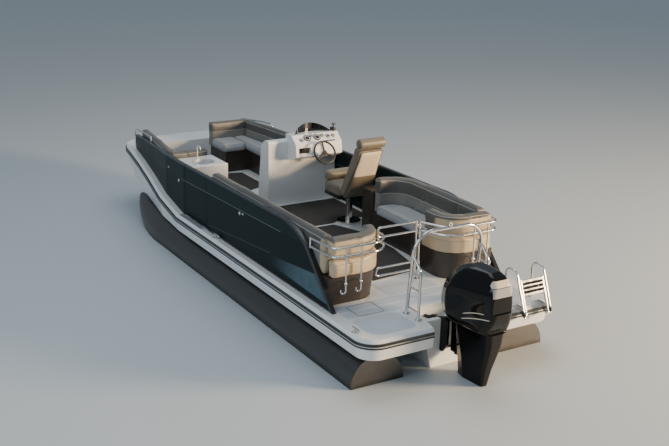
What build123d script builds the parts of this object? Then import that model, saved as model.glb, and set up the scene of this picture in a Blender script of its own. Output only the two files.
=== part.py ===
from build123d import *
from math import cos, pi, radians, sin, sqrt
import os

# Pontoon boat with three tubes, a moulded deck with an upswept bow, and an outboard motor.
# Millimetres, +X starboard, +Y to the bow, +Z up.
# The parts are drawn with z = 0 on the deck's top and raised to the waterline when written.

# Whole boat
LENGTH = 7750.0
BEAM = 2590.0
DECK_ABOVE_WATER = 610.0
CENTRE = 0.0

# Moulded deck
PLATE = 50.0
SKIRT_DEPTH = 230.0
SKIRT_LEAN = 25.0
SKIRT_WALL = 30.0
STERN_RADIUS = 250.0
BAND = 70.0
LEDGE_CHAMFER = 30.0
SHEER_START = LENGTH - 2880.0
RAIL_OUT = 18.0
BOW_CROWN = 60.0
BOW_CORNER_RADIUS = 380.0
RISER_Y = LENGTH - 420.0
NOTCH_STERN_HALF = 430.0
NOTCH_FRONT_HALF = 300.0
NOTCH_DEPTH = 580.0
RECESS_DEPTH = 8.0
RECESS_LENGTH = 920.0
RECESS_WIDTH = 60.0

# Bow stations behind the straight sides:
# y, half beam over the rub rail, rub rail height, half width at the skirt's edge, its height
BOW_STATIONS = [
    (SHEER_START, BEAM / 2, -70.0, BEAM / 2 - RAIL_OUT - SKIRT_LEAN, -SKIRT_DEPTH),
    (LENGTH - 2200.0, BEAM / 2 - 33.0, 30.0, BEAM / 2 - 90.0, -215.0),
    (LENGTH - 1600.0, BEAM / 2 - 110.0, 140.0, BEAM / 2 - 190.0, -200.0),
    (LENGTH - 1020.0, BEAM / 2 - 180.0, 230.0, BEAM / 2 - 265.0, -150.0),
    (LENGTH - 510.0, BEAM / 2 - 235.0, 295.0, BEAM / 2 - 330.0, -80.0),
    (LENGTH + 50.0, BEAM / 2 - 295.0, 335.0, BEAM / 2 - 415.0, 190.0),
]
STRAIGHT_RAIL_Z = BOW_STATIONS[0][2]

# Side panels
PANEL_INSET = 125.0
PANEL_THICK = 40.0
PANEL_LEDGE = 5.0
PANEL_AFT_Y = 900.0
PANEL_KNEE_Y = 2000.0
PANEL_BOW_Y = LENGTH - 510.0
PANEL_TOP = 745.0
CAP_HEIGHT = 22.0
CAP_OVERHANG = 8.0
PILLAR_WIDTH = 60.0
PILLAR_TOP_Y = 1424.0
PILLAR_TOP_Z = 610.0
# y and height of the panels' tops along the bow, at the stations of the hull
PANEL_TOPS = [(row[0], height) for row, height in zip(BOW_STATIONS, (690.0, 670.0, 645.0, 615.0, 560.0))]

# Port gate
GATE_AFT_Y = LENGTH - 3640.0
GATE_BOW_Y = LENGTH - 2950.0
GATE_GAP = 6.0
GATE_FLOOR_GAP = 14.0
HINGE_PIN_RADIUS = 6.0
HINGE_BARREL_RADIUS = 11.0
PIN_CLEARANCE = 0.05
HINGE_HEIGHTS = [140.0, 540.0]
KNUCKLE = 30.0

# Pontoon tubes
TUBE_RADIUS = 330.0
TUBE_SPACING = BEAM / 2 - 330.0
TUBE_CENTRE_Z = -600.0
TUBE_AFT_Y = 250.0
CENTRE_TUBE_AFT_Y = 1560.0
NOSE_START_Y = LENGTH - 2250.0
# y, radius of the nose cone's sections, all level along their top
NOSE_SECTIONS = [(NOSE_START_Y, TUBE_RADIUS), (NOSE_START_Y + 550.0, 290.0), (NOSE_START_Y + 1000.0, 205.0),
                 (NOSE_START_Y + 1300.0, 115.0), (NOSE_START_Y + 1450.0, 45.0)]
# x and aft end of each tube, and the sides that carry lifting strakes
TUBES = [(-TUBE_SPACING, TUBE_AFT_Y, (-1,)), (CENTRE, CENTRE_TUBE_AFT_Y, (-1, 1)),
         (TUBE_SPACING, TUBE_AFT_Y, (1,))]
STRAKE_ANGLE = 28.0
STRAKE_WIDTH = 90.0
STRAKE_DEPTH = 60.0
KEEL_WIDTH = 50.0
KEEL_DEPTH = 22.0
RISER_OFFSET = 120.0
RISER_THICK = 8.0
FLANGE_WIDTH = 60.0

# Crossmembers under the deck
BEAM_HEIGHT = 60.0
BEAM_WIDTH = 75.0
BEAM_WALL = 6.0
BEAM_HALF_SPAN = BEAM / 2 - 105.0
BEAM_FIRST_Y = 420.0
BEAM_COUNT = 13
BEAM_PITCH = (LENGTH - 2710.0) / (BEAM_COUNT - 1)

# Motor pod
POD_AFT_Y = 300.0
POD_BOW_Y = 1550.0
POD_HALF_TOP = 330.0
POD_HALF_BOTTOM = 240.0
POD_DEPTH = 560.0
POD_RISE = 200.0
TRANSOM_THICK = 60.0
WELL_HALF = 280.0
WELL_DEPTH = 150.0
WELL_BOW_Y = 560.0

# Outboard motor
TILT_Y = POD_AFT_Y - 100.0
TILT_Z = -20.0
TILT_PIN_RADIUS = 18.0
TILT_EYE_RADIUS = 30.0
STEER_Y = TILT_Y - 55.0
STEER_PIN_RADIUS = 20.0
STEER_TUBE_RADIUS = 42.0
SWIVEL_TOP = 12.0
SWIVEL_BOTTOM = -400.0
CLAMP_INNER = 105.0
CLAMP_THICK = 25.0
CLAMP_DEPTH = 420.0
CLAMP_AFT_Y = TILT_Y - 28.0
SWIVEL_HALF = 95.0
YOKE_GAP = 1.0
YOKE_THICK = 26.0
LEG_FRONT_Y = STEER_Y - 60.0
# Cowl sections: z, then y at the front, the widest place and the rear, then half widths at the same places
COWL_SECTIONS = [
    (45.0, 110.0, 20.0, -505.0, 125.0, 208.0, 122.0),
    (200.0, 255.0, 60.0, -540.0, 190.0, 272.0, 150.0),
    (380.0, 238.0, 50.0, -548.0, 180.0, 278.0, 146.0),
    (520.0, 180.0, 15.0, -540.0, 150.0, 246.0, 138.0),
    (620.0, 95.0, -40.0, -510.0, 105.0, 186.0, 104.0),
    (675.0, 0.0, -110.0, -430.0, 60.0, 118.0, 84.0),
    (695.0, -60.0, -160.0, -390.0, 36.0, 76.0, 60.0),
]
COWL_CORNER = 0.55
LEG_CORNER = 0.5
WINDOW = (120.0, 290.0, 470.0, 10.0)
# Leg sections, given like the cowl's
LEG_SECTIONS = [
    (40.0, LEG_FRONT_Y, 0.0, -495.0, 110.0, 165.0, 112.0),
    (-120.0, LEG_FRONT_Y, -10.0, -480.0, 92.0, 130.0, 92.0),
    (-420.0, LEG_FRONT_Y - 10.0, -50.0, -385.0, 60.0, 88.0, 58.0),
    (-700.0, LEG_FRONT_Y - 20.0, -60.0, -320.0, 38.0, 62.0, 34.0),
]
PLATE_Z = -720.0
PROP_Z = -930.0
PROP_Y = -385.0
PROP_RADIUS = 190.0
PROP_HUB_RADIUS = 52.0
PROP_HUB_LENGTH = 110.0
PROP_BLADES = 3
PROP_PITCH_ANGLE = 35.0
PROP_SHAFT_RADIUS = 14.0
GEARCASE_RADIUS = 58.0
GEARCASE_NOSE_Y = 50.0
SKEG_BOTTOM = -1170.0

# Stainless tube work
RAIL_RADIUS = 12.5
ARCH_RADIUS = 19.0
ARCH_BRACE_RADIUS = 15.0
ARCH_RUNG_RADIUS = 9.0
ARCH_RUNGS = (90.0, 330.0, 500.0)
ARCH_HALF = 450.0
ARCH_TOP_Y = 395.0
ARCH_TOP_Z = 942.0
ARCH_FRONT_Y = 500.0
ARCH_REAR_Y = 280.0
ARCH_BEND = 240.0
ARCH_FOOT_RADIUS = 42.0
RAIL_TOP_Z = 700.0
RAIL_LOW_Z = 600.0
AFT_RAIL_Y = 930.0
AFT_GATE_Y = 1310.0
AFT_GATE_PORT_X = -345.0
AFT_GATE_HINGE_X = 215.0
AFT_POST_X = 262.0

# Boarding ladder on the starboard stern
LADDER_PIVOT_Y = -100.0
LADDER_PIVOT_Z = -60.0
LADDER_X = (735.0, 1045.0)
LADDER_LENGTH = 410.0
LADDER_LEAN = 21.5
LADDER_TUBE = 15.0
STEP_PITCH = 46.0
STEP_HEIGHT = 24.0
LADDER_STEPS = 4

# Seats
BASE_HEIGHT = 330.0
SEAT_THICK = 130.0
BACK_TOP = 790.0
BACK_THICK = 130.0
SEAT_GAP = 0.3
WALL_GAP = 5.0
BACK_GAP = 17.0
BACK_END_GAP = 40.0
BASE_TUCK = 60.0
CUSHION_ROUND = 28.0

# Helm
CONSOLE_PORT_X = 30.0
CONSOLE_STBD_X = 1110.0
CONSOLE_AFT_Y = LENGTH - 3110.0
CONSOLE_TOP = 930.0
DASH_PORT_X = 330.0
DASH_STBD_X = 1070.0
WHEEL_Y = CONSOLE_AFT_Y - 405.0
WHEEL_Z = 805.0
WHEEL_RADIUS = 175.0
WHEEL_RIM = 14.0
WHEEL_TILT = 32.0

# Cups in the ledge and the cleats in them
CLEAT_CUP_RADIUS = 48.0
CLEAT_CUP_DEPTH = 12.0
CLEAT_PLACES = [(side * (BEAM / 2 - 95.0), y) for side in (-1, 1) for y in (330.0, LENGTH - 4030.0)]
CLEAT_LENGTH = 150.0
CLEAT_BAR = 9.0

# Round fittings on the side panels
FITTING_RADIUS = 24.0
FITTING_PROUD = 12.0
# y and height of the round chrome fittings on each side panel
FITTINGS = [(LENGTH - 2740.0, 440.0), (3100.0, 505.0)]

# Aft lounges
BENCH_INBOARD = 400.0
BENCH_AFT = 1030.0
BENCH_RADIUS = 300.0
BENCH_TAPER = 35.0
BACK_RETURN_Y = 1350.0
LOUNGE_INBOARD = 555.0
SHELL_BULGE = 30.0
SHELL_THICK = 120.0
SHELL_TOP = 540.0
BENCH_BOW = 1950.0
LOUNGE_BOW = GATE_AFT_Y - 32.0
STBD_INBOARD = 460.0
STBD_BOW = LENGTH - 4860.0
LOUNGE_BACK_WIDTH = 140.0
SWEEP_RADIUS = 330.0
STBD_SEAT_INBOARD = 590.0

# Floor mats
MAT_THICK = 6.0
# Floor mats in plan: the open floor down the middle, from the stern to the bow
MAT_SIDE = BEAM / 2 - 235.0
MAT_OUTLINES = [
    [(-240, 1480), (460, 1560), (600, 2300), (600, STBD_BOW + 160), (420, LENGTH - 4250),
     (-440, LENGTH - 4250), (-440, 2050), (-240, 1850)],
    [(-440, LENGTH - 4190), (460, LENGTH - 4190), (560, LENGTH - 4130), (MAT_SIDE, LENGTH - 4130),
     (MAT_SIDE, LENGTH - 3190), (-40, LENGTH - 3190), (-40, LENGTH - 2990), (-MAT_SIDE, LENGTH - 2990),
     (-MAT_SIDE, LENGTH - 3590), (-440, LENGTH - 3590)],
    [(-400, LENGTH - 2920), (-60, LENGTH - 2920), (-60, LENGTH - 2370), (480, LENGTH - 2150),
     (480, LENGTH - 1350), (160, LENGTH - 1250), (160, LENGTH - 490), (-480, LENGTH - 490),
     (-480, LENGTH - 2100), (-400, LENGTH - 2190)],
]

# Cabinet behind the helm chair: x from and to, y from and to, top
STORAGE = (640.0, 1120.0, LENGTH - 4850.0, LENGTH - 4590.0, 600.0)
CUP_RADIUS = 42.0
CUP_DEPTH = 80.0
CUP_INSET = 120.0
CUP_SPREAD = 55.0

# Bow lounges
BOW_SEAT_AFT = LENGTH - 2150.0
BOW_SEAT_BOW = LENGTH - 650.0
BOW_BACK_TOP = 720.0
PORT_BOW_INBOARD = 560.0
STBD_BOW_AFT = LENGTH - 2740.0
BOW_PORT_TRANSVERSE_X = 440.0
STBD_BOW_SIDE_IN = 600.0
STBD_BOW_CROSS_Y = LENGTH - 1270.0
STBD_BOW_CROSS_IN = 210.0

# Sink cabinet, bowl and tap
SINK = (-460.0, LENGTH - 2820.0, LENGTH - 2288.0, 620.0)
SINK_BOWL_RADIUS = 150.0
SINK_BOWL_DEPTH = 120.0
SINK_X = -730.0
SINK_Y = LENGTH - 2600.0
BOWL_WALL = 3.0
TAP_RADIUS = 9.0

# Dash, gauges and screen
DASH_TOP = 1015.0
DASH_BREAK_TOP = (CONSOLE_AFT_Y - 110.0, DASH_TOP)
DASH_BREAK_LOW = (CONSOLE_AFT_Y - 240.0, 905.0)
DASH_LIP = (CONSOLE_AFT_Y - 262.0, 735.0)
DASH_UNDER = (CONSOLE_AFT_Y - 190.0, 690.0)
COLUMN_RADIUS = 30.0
WHEEL_SHAFT_RADIUS = 12.0
WHEEL_X = 700.0
# Gauges on the sloping panel: across from the dash's centre, up the slope, bezel radius
GAUGES = [(-250.0, 75.0, 30.0), (-150.0, 100.0, 54.0), (-71.0, 138.0, 25.0), (8.0, 100.0, 54.0),
          (100.0, 122.0, 28.0), (185.0, 100.0, 34.0), (270.0, 100.0, 28.0)]
BEZEL_HEIGHT = 9.0
SCREEN_THICK = 6.0
SCREEN_RISE = 125.0
SCREEN_INSETS = (75.0, 45.0)

# Helm chair
CHAIR_X_PIVOT = WHEEL_X
CHAIR_Y_PIVOT = LENGTH - 4190.0
PEDESTAL_RADIUS = 45.0
PEDESTAL_TOP = 345.0
CHAIR_PAN_Z = 355.0
CHAIR_HALF = 240.0
CHAIR_FRONT = 330.0
CHAIR_REAR = -190.0
CHAIR_SEAT_TOP = 550.0
CHAIR_BACK_LEAN = 25.0
CHAIR_BACK_LENGTH = 870.0
BOLSTER_DEPTH = 150.0
BOLSTER_TOP = 680.0
HEADREST_RADIUS = 75.0

# Hooks, knobs and collars of the aft rails and gate
HOOK_DROP = 175.0
KNOB_RADIUS = 21.0
KNOB_Z = 285.0
HOOK_X = (770.0, 965.0)
GATE_COLLAR_RADIUS = 21.0
GATE_COLLARS = [(190.0, 225.0), (640.0, 675.0)]

# Tow eye
EYE_OUTER = 24.0
EYE_HOLE = 13.0
EYE_THICK = 14.0

# Bow rails
BOW_RAIL_AFT = LENGTH - 1350.0
BOW_RAIL_BOW = LENGTH - 420.0
BOW_RAIL_LIFT = 75.0

# Ladder brackets and handrails
LADDER_GAP = 2.0
LADDER_PIN_RADIUS = 6.0
LUG_THICK = 8.0
HANDRAIL_TOP = 425.0
HANDRAIL_OUT = 34.0
HANDRAIL_BEND = 80.0
HANDRAIL_FRONT_Y = 255.0
HANDRAIL_FOOT_RADIUS = 26.0

# Powerhead block: half width, front, rear, top
POWERHEAD = (108.0, 40.0, -345.0, 540.0)
POWERHEAD_GAP = 12.0

# Rigging hoses
HOSE_RADIUS = 20.0
SMALL_HOSE_RADIUS = 11.0

# Propeller blade
BLADE_THICK = 8.0

# Gate hinge line
GATE_PIN_X = -(BEAM / 2 - PANEL_INSET - PANEL_THICK - 12.0)


def box(x0, x1, y0, y1, z0, z1):
    """A box between two corners."""
    return Pos((x0 + x1) / 2, (y0 + y1) / 2, (z0 + z1) / 2) * Box(x1 - x0, y1 - y0, z1 - z0)


def prism(points, z0, z1):
    """A plan outline of (x, y) points raised from z0 to z1."""
    face = make_face(Polyline(*points, close=True))
    return Pos(0, 0, z0) * extrude(face, amount=z1 - z0)


def profile(points, x0, x1):
    """A side outline of (y, z) points carried across from x0 to x1."""
    wire = Polyline(*[(x0, y, z) for y, z in points], close=True)
    return extrude(make_face(wire), amount=x1 - x0, dir=(1, 0, 0))


def strip(points, radii, width, z0, z1):
    """A wall of even width along a plan path with rounded corners."""
    path = FilletPolyline(*points, radius=radii)
    return Pos(0, 0, z0) * extrude(trace(path, line_width=width), amount=z1 - z0)


def rod(start, end, radius):
    """A round bar between two points."""
    line = Line(start, end)
    return sweep(Plane(origin=line @ 0, z_dir=line % 0) * Circle(radius), path=line)


def pipe(points, radii, radius):
    """A bent round tube along straight runs joined by arcs."""
    path = FilletPolyline(*points, radius=radii)
    return sweep(Plane(origin=path @ 0, z_dir=path % 0) * Circle(radius), path=path)


def cylinder_x(x0, x1, y, z, radius):
    """A round bar that lies along X."""
    return Pos((x0 + x1) / 2, y, z) * Rot(0, 90, 0) * Cylinder(radius, x1 - x0)


def cylinder_y(y0, y1, x, z, radius):
    """A round bar that lies along Y."""
    return Pos(x, (y0 + y1) / 2, z) * Rot(90, 0, 0) * Cylinder(radius, y1 - y0)


def cylinder_z(z0, z1, x, y, radius):
    """A round bar that stands along Z."""
    return Pos(x, y, (z0 + z1) / 2) * Cylinder(radius, z1 - z0)


def group(*shapes):
    """Several pieces as one node, each still a solid of its own."""
    return Compound([solid for shape in shapes for solid in shape.solids()])


def mirrored(shape):
    """The same shape on the other side of the centre plane."""
    return mirror(shape, about=Plane.YZ)


def soften(solid, upright, top):
    """Round the upright edges and the top edge of a cushion."""
    solid = fillet(solid.edges().filter_by(Axis.Z), upright)
    return fillet(solid.faces().sort_by(Axis.Z)[-1].edges(), top)


def between(rows, y, column):
    """A column of a station table at any y, straight between its stations."""
    for low, high in zip(rows, rows[1:]):
        if y <= high[0]:
            share = max(0.0, (y - low[0]) / (high[0] - low[0]))
            return low[column] + share * (high[column] - low[column])
    return rows[-1][column]


def panel_half(y):
    """Half width over the side panels at y."""
    return between(BOW_STATIONS, y, 1) - PANEL_INSET


def ledge_z(y):
    """Height of the ledge that carries the side panels."""
    return between(BOW_STATIONS, y, 2) + BAND


def panel_top(y):
    """Height of a side panel's top edge, which falls gently to the bow."""
    if y > SHEER_START:
        return between(PANEL_TOPS, y, 1)
    fall = (y - PANEL_KNEE_Y) / (SHEER_START - PANEL_KNEE_Y)
    return PANEL_TOP - fall * (PANEL_TOP - PANEL_TOPS[0][1])


def station_ys(y0, y1):
    """The two ends and the bow stations between them."""
    return [y0] + [row[0] for row in BOW_STATIONS if y0 < row[0] < y1] + [y1]


def side_block(side, y0, y1, outer, inner, z0, z1):
    """A block along the inside of a side panel, between two insets from the panel's outside."""
    ys = station_ys(y0, y1)
    out = [(side * (panel_half(y) - outer), y) for y in ys]
    back = [(side * (panel_half(y) - inner), y) for y in reversed(ys)]
    return prism(out + back, z0, z1)


def seat_block(side, y0, y1, outer, inner_x, z0, z1):
    """A block from the side panel's inside to a straight inboard edge."""
    ys = station_ys(y0, y1)
    out = [(side * (panel_half(y) - outer), y) for y in ys]
    return prism(out + [(inner_x, y1), (inner_x, y0)], z0, z1)


def ruled(sections):
    """A solid with straight sides between closed outlines of points."""
    faces = [make_face(Polyline(*points, close=True)) for points in sections]
    return loft(faces, ruled=True)


def hull_section(row, grow):
    """The moulding's outline across the boat at a bow station."""
    y, half, rail_z, low_half, low_z = row
    side = half - RAIL_OUT + grow
    right = [
        (low_half + grow, low_z),
        (side, rail_z - BAND / 2),
        (side, rail_z + BAND / 2),
        (side - LEDGE_CHAMFER, rail_z + BAND),
    ]
    left = [(-x, z) for x, z in reversed(right)]
    return [(x, y, z) for x, z in right + left]


def plan_outline(grow, y_front, z):
    """The straight part of the deck in plan, with rounded stern corners."""
    half = BEAM / 2 - RAIL_OUT + grow
    y0 = RAIL_OUT - grow
    outline = Polyline((half, y0), (half, y_front), (-half, y_front), (-half, y0), close=True)
    face = make_face(outline)
    corners = face.vertices().sort_by(Axis.Y)[:2]
    return Pos(0, 0, z) * fillet(corners, STERN_RADIUS - RAIL_OUT + grow)


def bow_cut(grow):
    """The bow's rounded front in plan, as a tall solid from the sheer's start forward."""
    y_tip = LENGTH - RAIL_OUT + grow
    y_corner = y_tip - BOW_CROWN
    half_aft = between(BOW_STATIONS, PANEL_BOW_Y, 1) - RAIL_OUT + grow + 2
    half_tip = between(BOW_STATIONS, y_corner, 1) - RAIL_OUT + grow + 2
    aft = SHEER_START - 500
    flare = PANEL_BOW_Y - 540
    sides = Polyline((-half_tip, y_corner), (-half_aft, PANEL_BOW_Y), (-BEAM, flare), (-BEAM, aft),
                     (BEAM, aft), (BEAM, flare), (half_aft, PANEL_BOW_Y), (half_tip, y_corner))
    front = ThreePointArc((half_tip, y_corner), (0, y_tip), (-half_tip, y_corner))
    face = make_face(sides.edges() + front.edges())
    corners = face.vertices().filter_by(lambda v: abs(v.Y - y_corner) < 1)
    face = fillet(corners, BOW_CORNER_RADIUS + grow)
    return Pos(0, 0, -1000) * extrude(face, amount=2500)


def hull_body():
    """The deck moulding before it is hollowed."""
    rail = STRAIGHT_RAIL_Z
    levels = [
        (-SKIRT_LEAN, -SKIRT_DEPTH),
        (0.0, rail - BAND / 2),
        (0.0, rail + BAND / 2),
        (-LEDGE_CHAMFER, rail + BAND),
    ]
    body = None
    for (grow_low, z_low), (grow_high, z_high) in zip(levels, levels[1:]):
        layer = loft([plan_outline(grow_low, SHEER_START, z_low),
                      plan_outline(grow_high, SHEER_START, z_high)], ruled=True)
        body = layer if body is None else body + layer
    bow = ruled([hull_section(row, 0.0) for row in BOW_STATIONS])
    return body + (bow & bow_cut(0.0))


def deck(body):
    """The deck moulding: plate, skirt, raised bow with its seat well, motor notch and recesses."""
    inner = -SKIRT_WALL
    under = loft([plan_outline(inner - SKIRT_LEAN, SHEER_START + 1, -SKIRT_DEPTH - 1),
                  plan_outline(inner - SKIRT_LEAN, SHEER_START + 1, -PLATE)], ruled=True)
    rows = BOW_STATIONS[:-2]
    sections = []
    for y, half, rail_z, low_half, low_z in rows:
        side = low_half - SKIRT_WALL
        sections.append([(side, y, low_z - 1), (side, y, -PLATE), (-side, y, -PLATE), (-side, y, low_z - 1)])
    under_bow = ruled(sections)
    well = side_block(1, SHEER_START - 200, RISER_Y, PANEL_THICK + PANEL_LEDGE, 1200, 0, 600)
    well = well + mirrored(well) + box(-600, 600, SHEER_START - 200, RISER_Y, 0, 600)
    notch = prism([(-NOTCH_STERN_HALF, -10), (NOTCH_STERN_HALF, -10),
                   (NOTCH_FRONT_HALF, NOTCH_DEPTH), (-NOTCH_FRONT_HALF, NOTCH_DEPTH)],
                  -SKIRT_DEPTH - 10, 10)
    shape = body - under - under_bow - well - notch
    ledge_x = -(BEAM / 2 - RAIL_OUT - LEDGE_CHAMFER - RECESS_WIDTH)
    step = box(ledge_x, ledge_x + RECESS_WIDTH, GATE_AFT_Y - 260, GATE_AFT_Y - 260 + RECESS_LENGTH,
               -RECESS_DEPTH, 10)
    shape = shape - fillet(step.edges().filter_by(Axis.Z), 20)
    for x, y in CLEAT_PLACES:
        shape = shape - cylinder_z(-CLEAT_CUP_DEPTH, 10, x, y, CLEAT_CUP_RADIUS)
    return shape


def rub_rail(body):
    """The rub rail: a raised band with a groove along its middle, all round the deck."""
    rail = STRAIGHT_RAIL_Z
    groove = 12.0
    parts = []
    for low, high, out in [(-BAND / 2, -groove / 2, RAIL_OUT), (-groove / 2, groove / 2, RAIL_OUT / 2),
                           (groove / 2, BAND / 2, RAIL_OUT)]:
        outline = plan_outline(out, SHEER_START, rail + low)
        parts.append(extrude(outline, amount=high - low))
        sections = []
        for y, half, rail_z, low_half, low_z in BOW_STATIONS:
            side = half - RAIL_OUT + out
            sections.append([(side, y, rail_z + low), (side, y, rail_z + high),
                             (-side, y, rail_z + high), (-side, y, rail_z + low)])
        parts.append(ruled(sections) & bow_cut(out))
    band = parts[0].fuse(*parts[1:])
    notch = box(-NOTCH_STERN_HALF, NOTCH_STERN_HALF, -30, NOTCH_DEPTH, rail - 100, rail + 100)
    return band - body - notch


def pontoon(x, aft_y, strake_sides):
    """One tube with its nose cone, keel and lifting strakes."""
    barrel = cylinder_y(aft_y, NOSE_START_Y, x, TUBE_CENTRE_Z, TUBE_RADIUS)
    top = TUBE_CENTRE_Z + TUBE_RADIUS
    sections = [Plane(origin=(x, y, top - r), z_dir=(0, 1, 0)) * Circle(r) for y, r in NOSE_SECTIONS]
    shape = barrel + loft(sections)
    keel_z = TUBE_CENTRE_Z - TUBE_RADIUS
    keel = profile([(aft_y, keel_z + 10), (NOSE_START_Y, keel_z + 10),
                    (NOSE_START_Y - 100, keel_z - KEEL_DEPTH), (aft_y, keel_z - KEEL_DEPTH)],
                   x - KEEL_WIDTH / 2, x + KEEL_WIDTH / 2)
    shape = shape + keel
    for side in strake_sides:
        angle = radians(STRAKE_ANGLE)
        cx = x + side * TUBE_RADIUS * cos(angle)
        cz = TUBE_CENTRE_Z - TUBE_RADIUS * sin(angle)
        reach = side * STRAKE_DEPTH
        strake = Polyline((cx - reach, aft_y, cz), (cx + reach / 2 - side * 8, aft_y, cz),
                          (cx - reach / 2, aft_y, cz - STRAKE_WIDTH),
                          (cx - reach, aft_y, cz - STRAKE_WIDTH / 2), close=True)
        shape = shape + extrude(make_face(strake), amount=NOSE_START_Y - aft_y - 300, dir=(0, 1, 0))
    return shape


def risers(x, aft_y):
    """The two upright plates on a tube's top, each with a flange that meets the crossmembers."""
    barrel = cylinder_y(aft_y, NOSE_START_Y, x, TUBE_CENTRE_Z, TUBE_RADIUS + SEAT_GAP)
    plates = []
    for side in (-1, 1):
        wall = x + side * RISER_OFFSET
        foot = TUBE_CENTRE_Z + sqrt(TUBE_RADIUS ** 2 - RISER_OFFSET ** 2) - 12
        plate = box(wall - RISER_THICK / 2, wall + RISER_THICK / 2, aft_y + 100, NOSE_START_Y,
                    foot, -PLATE - BEAM_HEIGHT)
        flange = box(min(wall, wall + side * FLANGE_WIDTH), max(wall, wall + side * FLANGE_WIDTH),
                     aft_y + 100, NOSE_START_Y,
                     -PLATE - BEAM_HEIGHT - RISER_THICK, -PLATE - BEAM_HEIGHT)
        plates.append(plate + flange - barrel)
    return group(*plates)


def pontoons():
    """Three tubes, the middle one shorter because the motor pod follows it."""
    return group(*[pontoon(x, aft_y, sides) for x, aft_y, sides in TUBES])


def pontoon_risers():
    """The risers of all three tubes."""
    return group(*[risers(x, aft_y) for x, aft_y, sides in TUBES])


def crossmembers():
    """Channels across the boat between the risers and the deck, cut short beside the pod."""
    beams = []
    top = -PLATE
    for index in range(BEAM_COUNT):
        y = BEAM_FIRST_Y + index * BEAM_PITCH
        spans = [(-BEAM_HALF_SPAN, BEAM_HALF_SPAN)]
        if y - BEAM_WIDTH / 2 < POD_BOW_Y:
            spans = [(-BEAM_HALF_SPAN, -POD_HALF_TOP - 20), (POD_HALF_TOP + 20, BEAM_HALF_SPAN)]
        for x0, x1 in spans:
            limit = between(BOW_STATIONS, y + BEAM_WIDTH, 3) - SKIRT_WALL - 20
            x0, x1 = max(x0, -limit), min(x1, limit)
            outer = box(x0, x1, y - BEAM_WIDTH / 2, y + BEAM_WIDTH / 2, top - BEAM_HEIGHT, top)
            hollow = box(x0 - 1, x1 + 1, y - BEAM_WIDTH / 2 + BEAM_WALL, y + BEAM_WIDTH,
                         top - BEAM_HEIGHT + BEAM_WALL, top - BEAM_WALL)
            beams.append(outer - hollow)
    return group(*beams)


def motor_pod():
    """The moulded pod that carries the motor, with its transom and a splash well."""
    top = -PLATE
    rows = [(POD_AFT_Y, POD_DEPTH), (700.0, POD_DEPTH + 30), (POD_BOW_Y, POD_DEPTH - 60)]
    sections = []
    for y, depth in rows:
        low = top - depth
        sections.append([(POD_HALF_TOP, y, top), (POD_HALF_TOP, y, top - POD_RISE),
                         (POD_HALF_BOTTOM, y, low), (-POD_HALF_BOTTOM, y, low),
                         (-POD_HALF_TOP, y, top - POD_RISE), (-POD_HALF_TOP, y, top)])
    shape = ruled(sections)
    well = box(-WELL_HALF, WELL_HALF, POD_AFT_Y + TRANSOM_THICK, WELL_BOW_Y, top - WELL_DEPTH, top + 10)
    return shape - fillet(well.edges().filter_by(Axis.Z), 40)


def floor_mats():
    """Soft floor mats between bands of bare moulding."""
    mats = []
    for points in MAT_OUTLINES:
        mats.append(prism(points, 0, MAT_THICK))
    return group(*mats)


def pillar_y(z):
    """Where the sloping aft pillar's outer edge is at height z."""
    return PANEL_AFT_Y - PILLAR_WIDTH + z * (PILLAR_TOP_Y - PANEL_AFT_Y + PILLAR_WIDTH) / PILLAR_TOP_Z


def panel_aft(side, y_bow):
    """The long side panel from its sloping aft end to y_bow, as thick as the wall."""
    outer = panel_half(0)
    x0, x1 = sorted([side * outer, side * (outer - PANEL_THICK)])
    knee_top = PANEL_KNEE_Y + 100
    edges = [
        Line((x0, PANEL_AFT_Y, 0), (x0, 1470, 575)),
        ThreePointArc((x0, 1470, 575), (x0, 1740, 700), (x0, knee_top, panel_top(knee_top))),
        Line((x0, knee_top, panel_top(knee_top)), (x0, y_bow, panel_top(y_bow))),
        Line((x0, y_bow, panel_top(y_bow)), (x0, y_bow, 0)),
        Line((x0, y_bow, 0), (x0, PANEL_AFT_Y, 0)),
    ]
    return extrude(make_face(edges), amount=x1 - x0, dir=(1, 0, 0))


def panel_run(side, y0, y1):
    """A stretch of side panel that follows the bow's curve and sheer."""
    sections = []
    for y in station_ys(y0, y1):
        outer = panel_half(y)
        bottom = max(0.0, ledge_z(y))
        top = panel_top(y)
        sections.append([(side * outer, y, bottom), (side * outer, y, top),
                         (side * (outer - PANEL_THICK), y, top),
                         (side * (outer - PANEL_THICK), y, bottom)])
    return ruled(sections)


def panel_caps():
    """Dark caps along the panels' tops, with the sloping pillars at their aft ends."""
    caps = []
    reach = CAP_OVERHANG
    runs = [(-1, PANEL_KNEE_Y + 110, GATE_AFT_Y - GATE_GAP), (-1, GATE_BOW_Y + GATE_GAP, PANEL_BOW_Y),
            (1, PANEL_KNEE_Y + 110, PANEL_BOW_Y)]
    for side, y0, y1 in runs:
        sections = []
        for y in station_ys(y0, y1):
            outer = panel_half(y)
            top = panel_top(y)
            sections.append([(side * (outer + reach), y, top), (side * (outer + reach), y, top + CAP_HEIGHT),
                             (side * (outer - PANEL_THICK), y, top + CAP_HEIGHT),
                             (side * (outer - PANEL_THICK), y, top)])
        caps.append(ruled(sections))
    return group(*caps)


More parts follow.
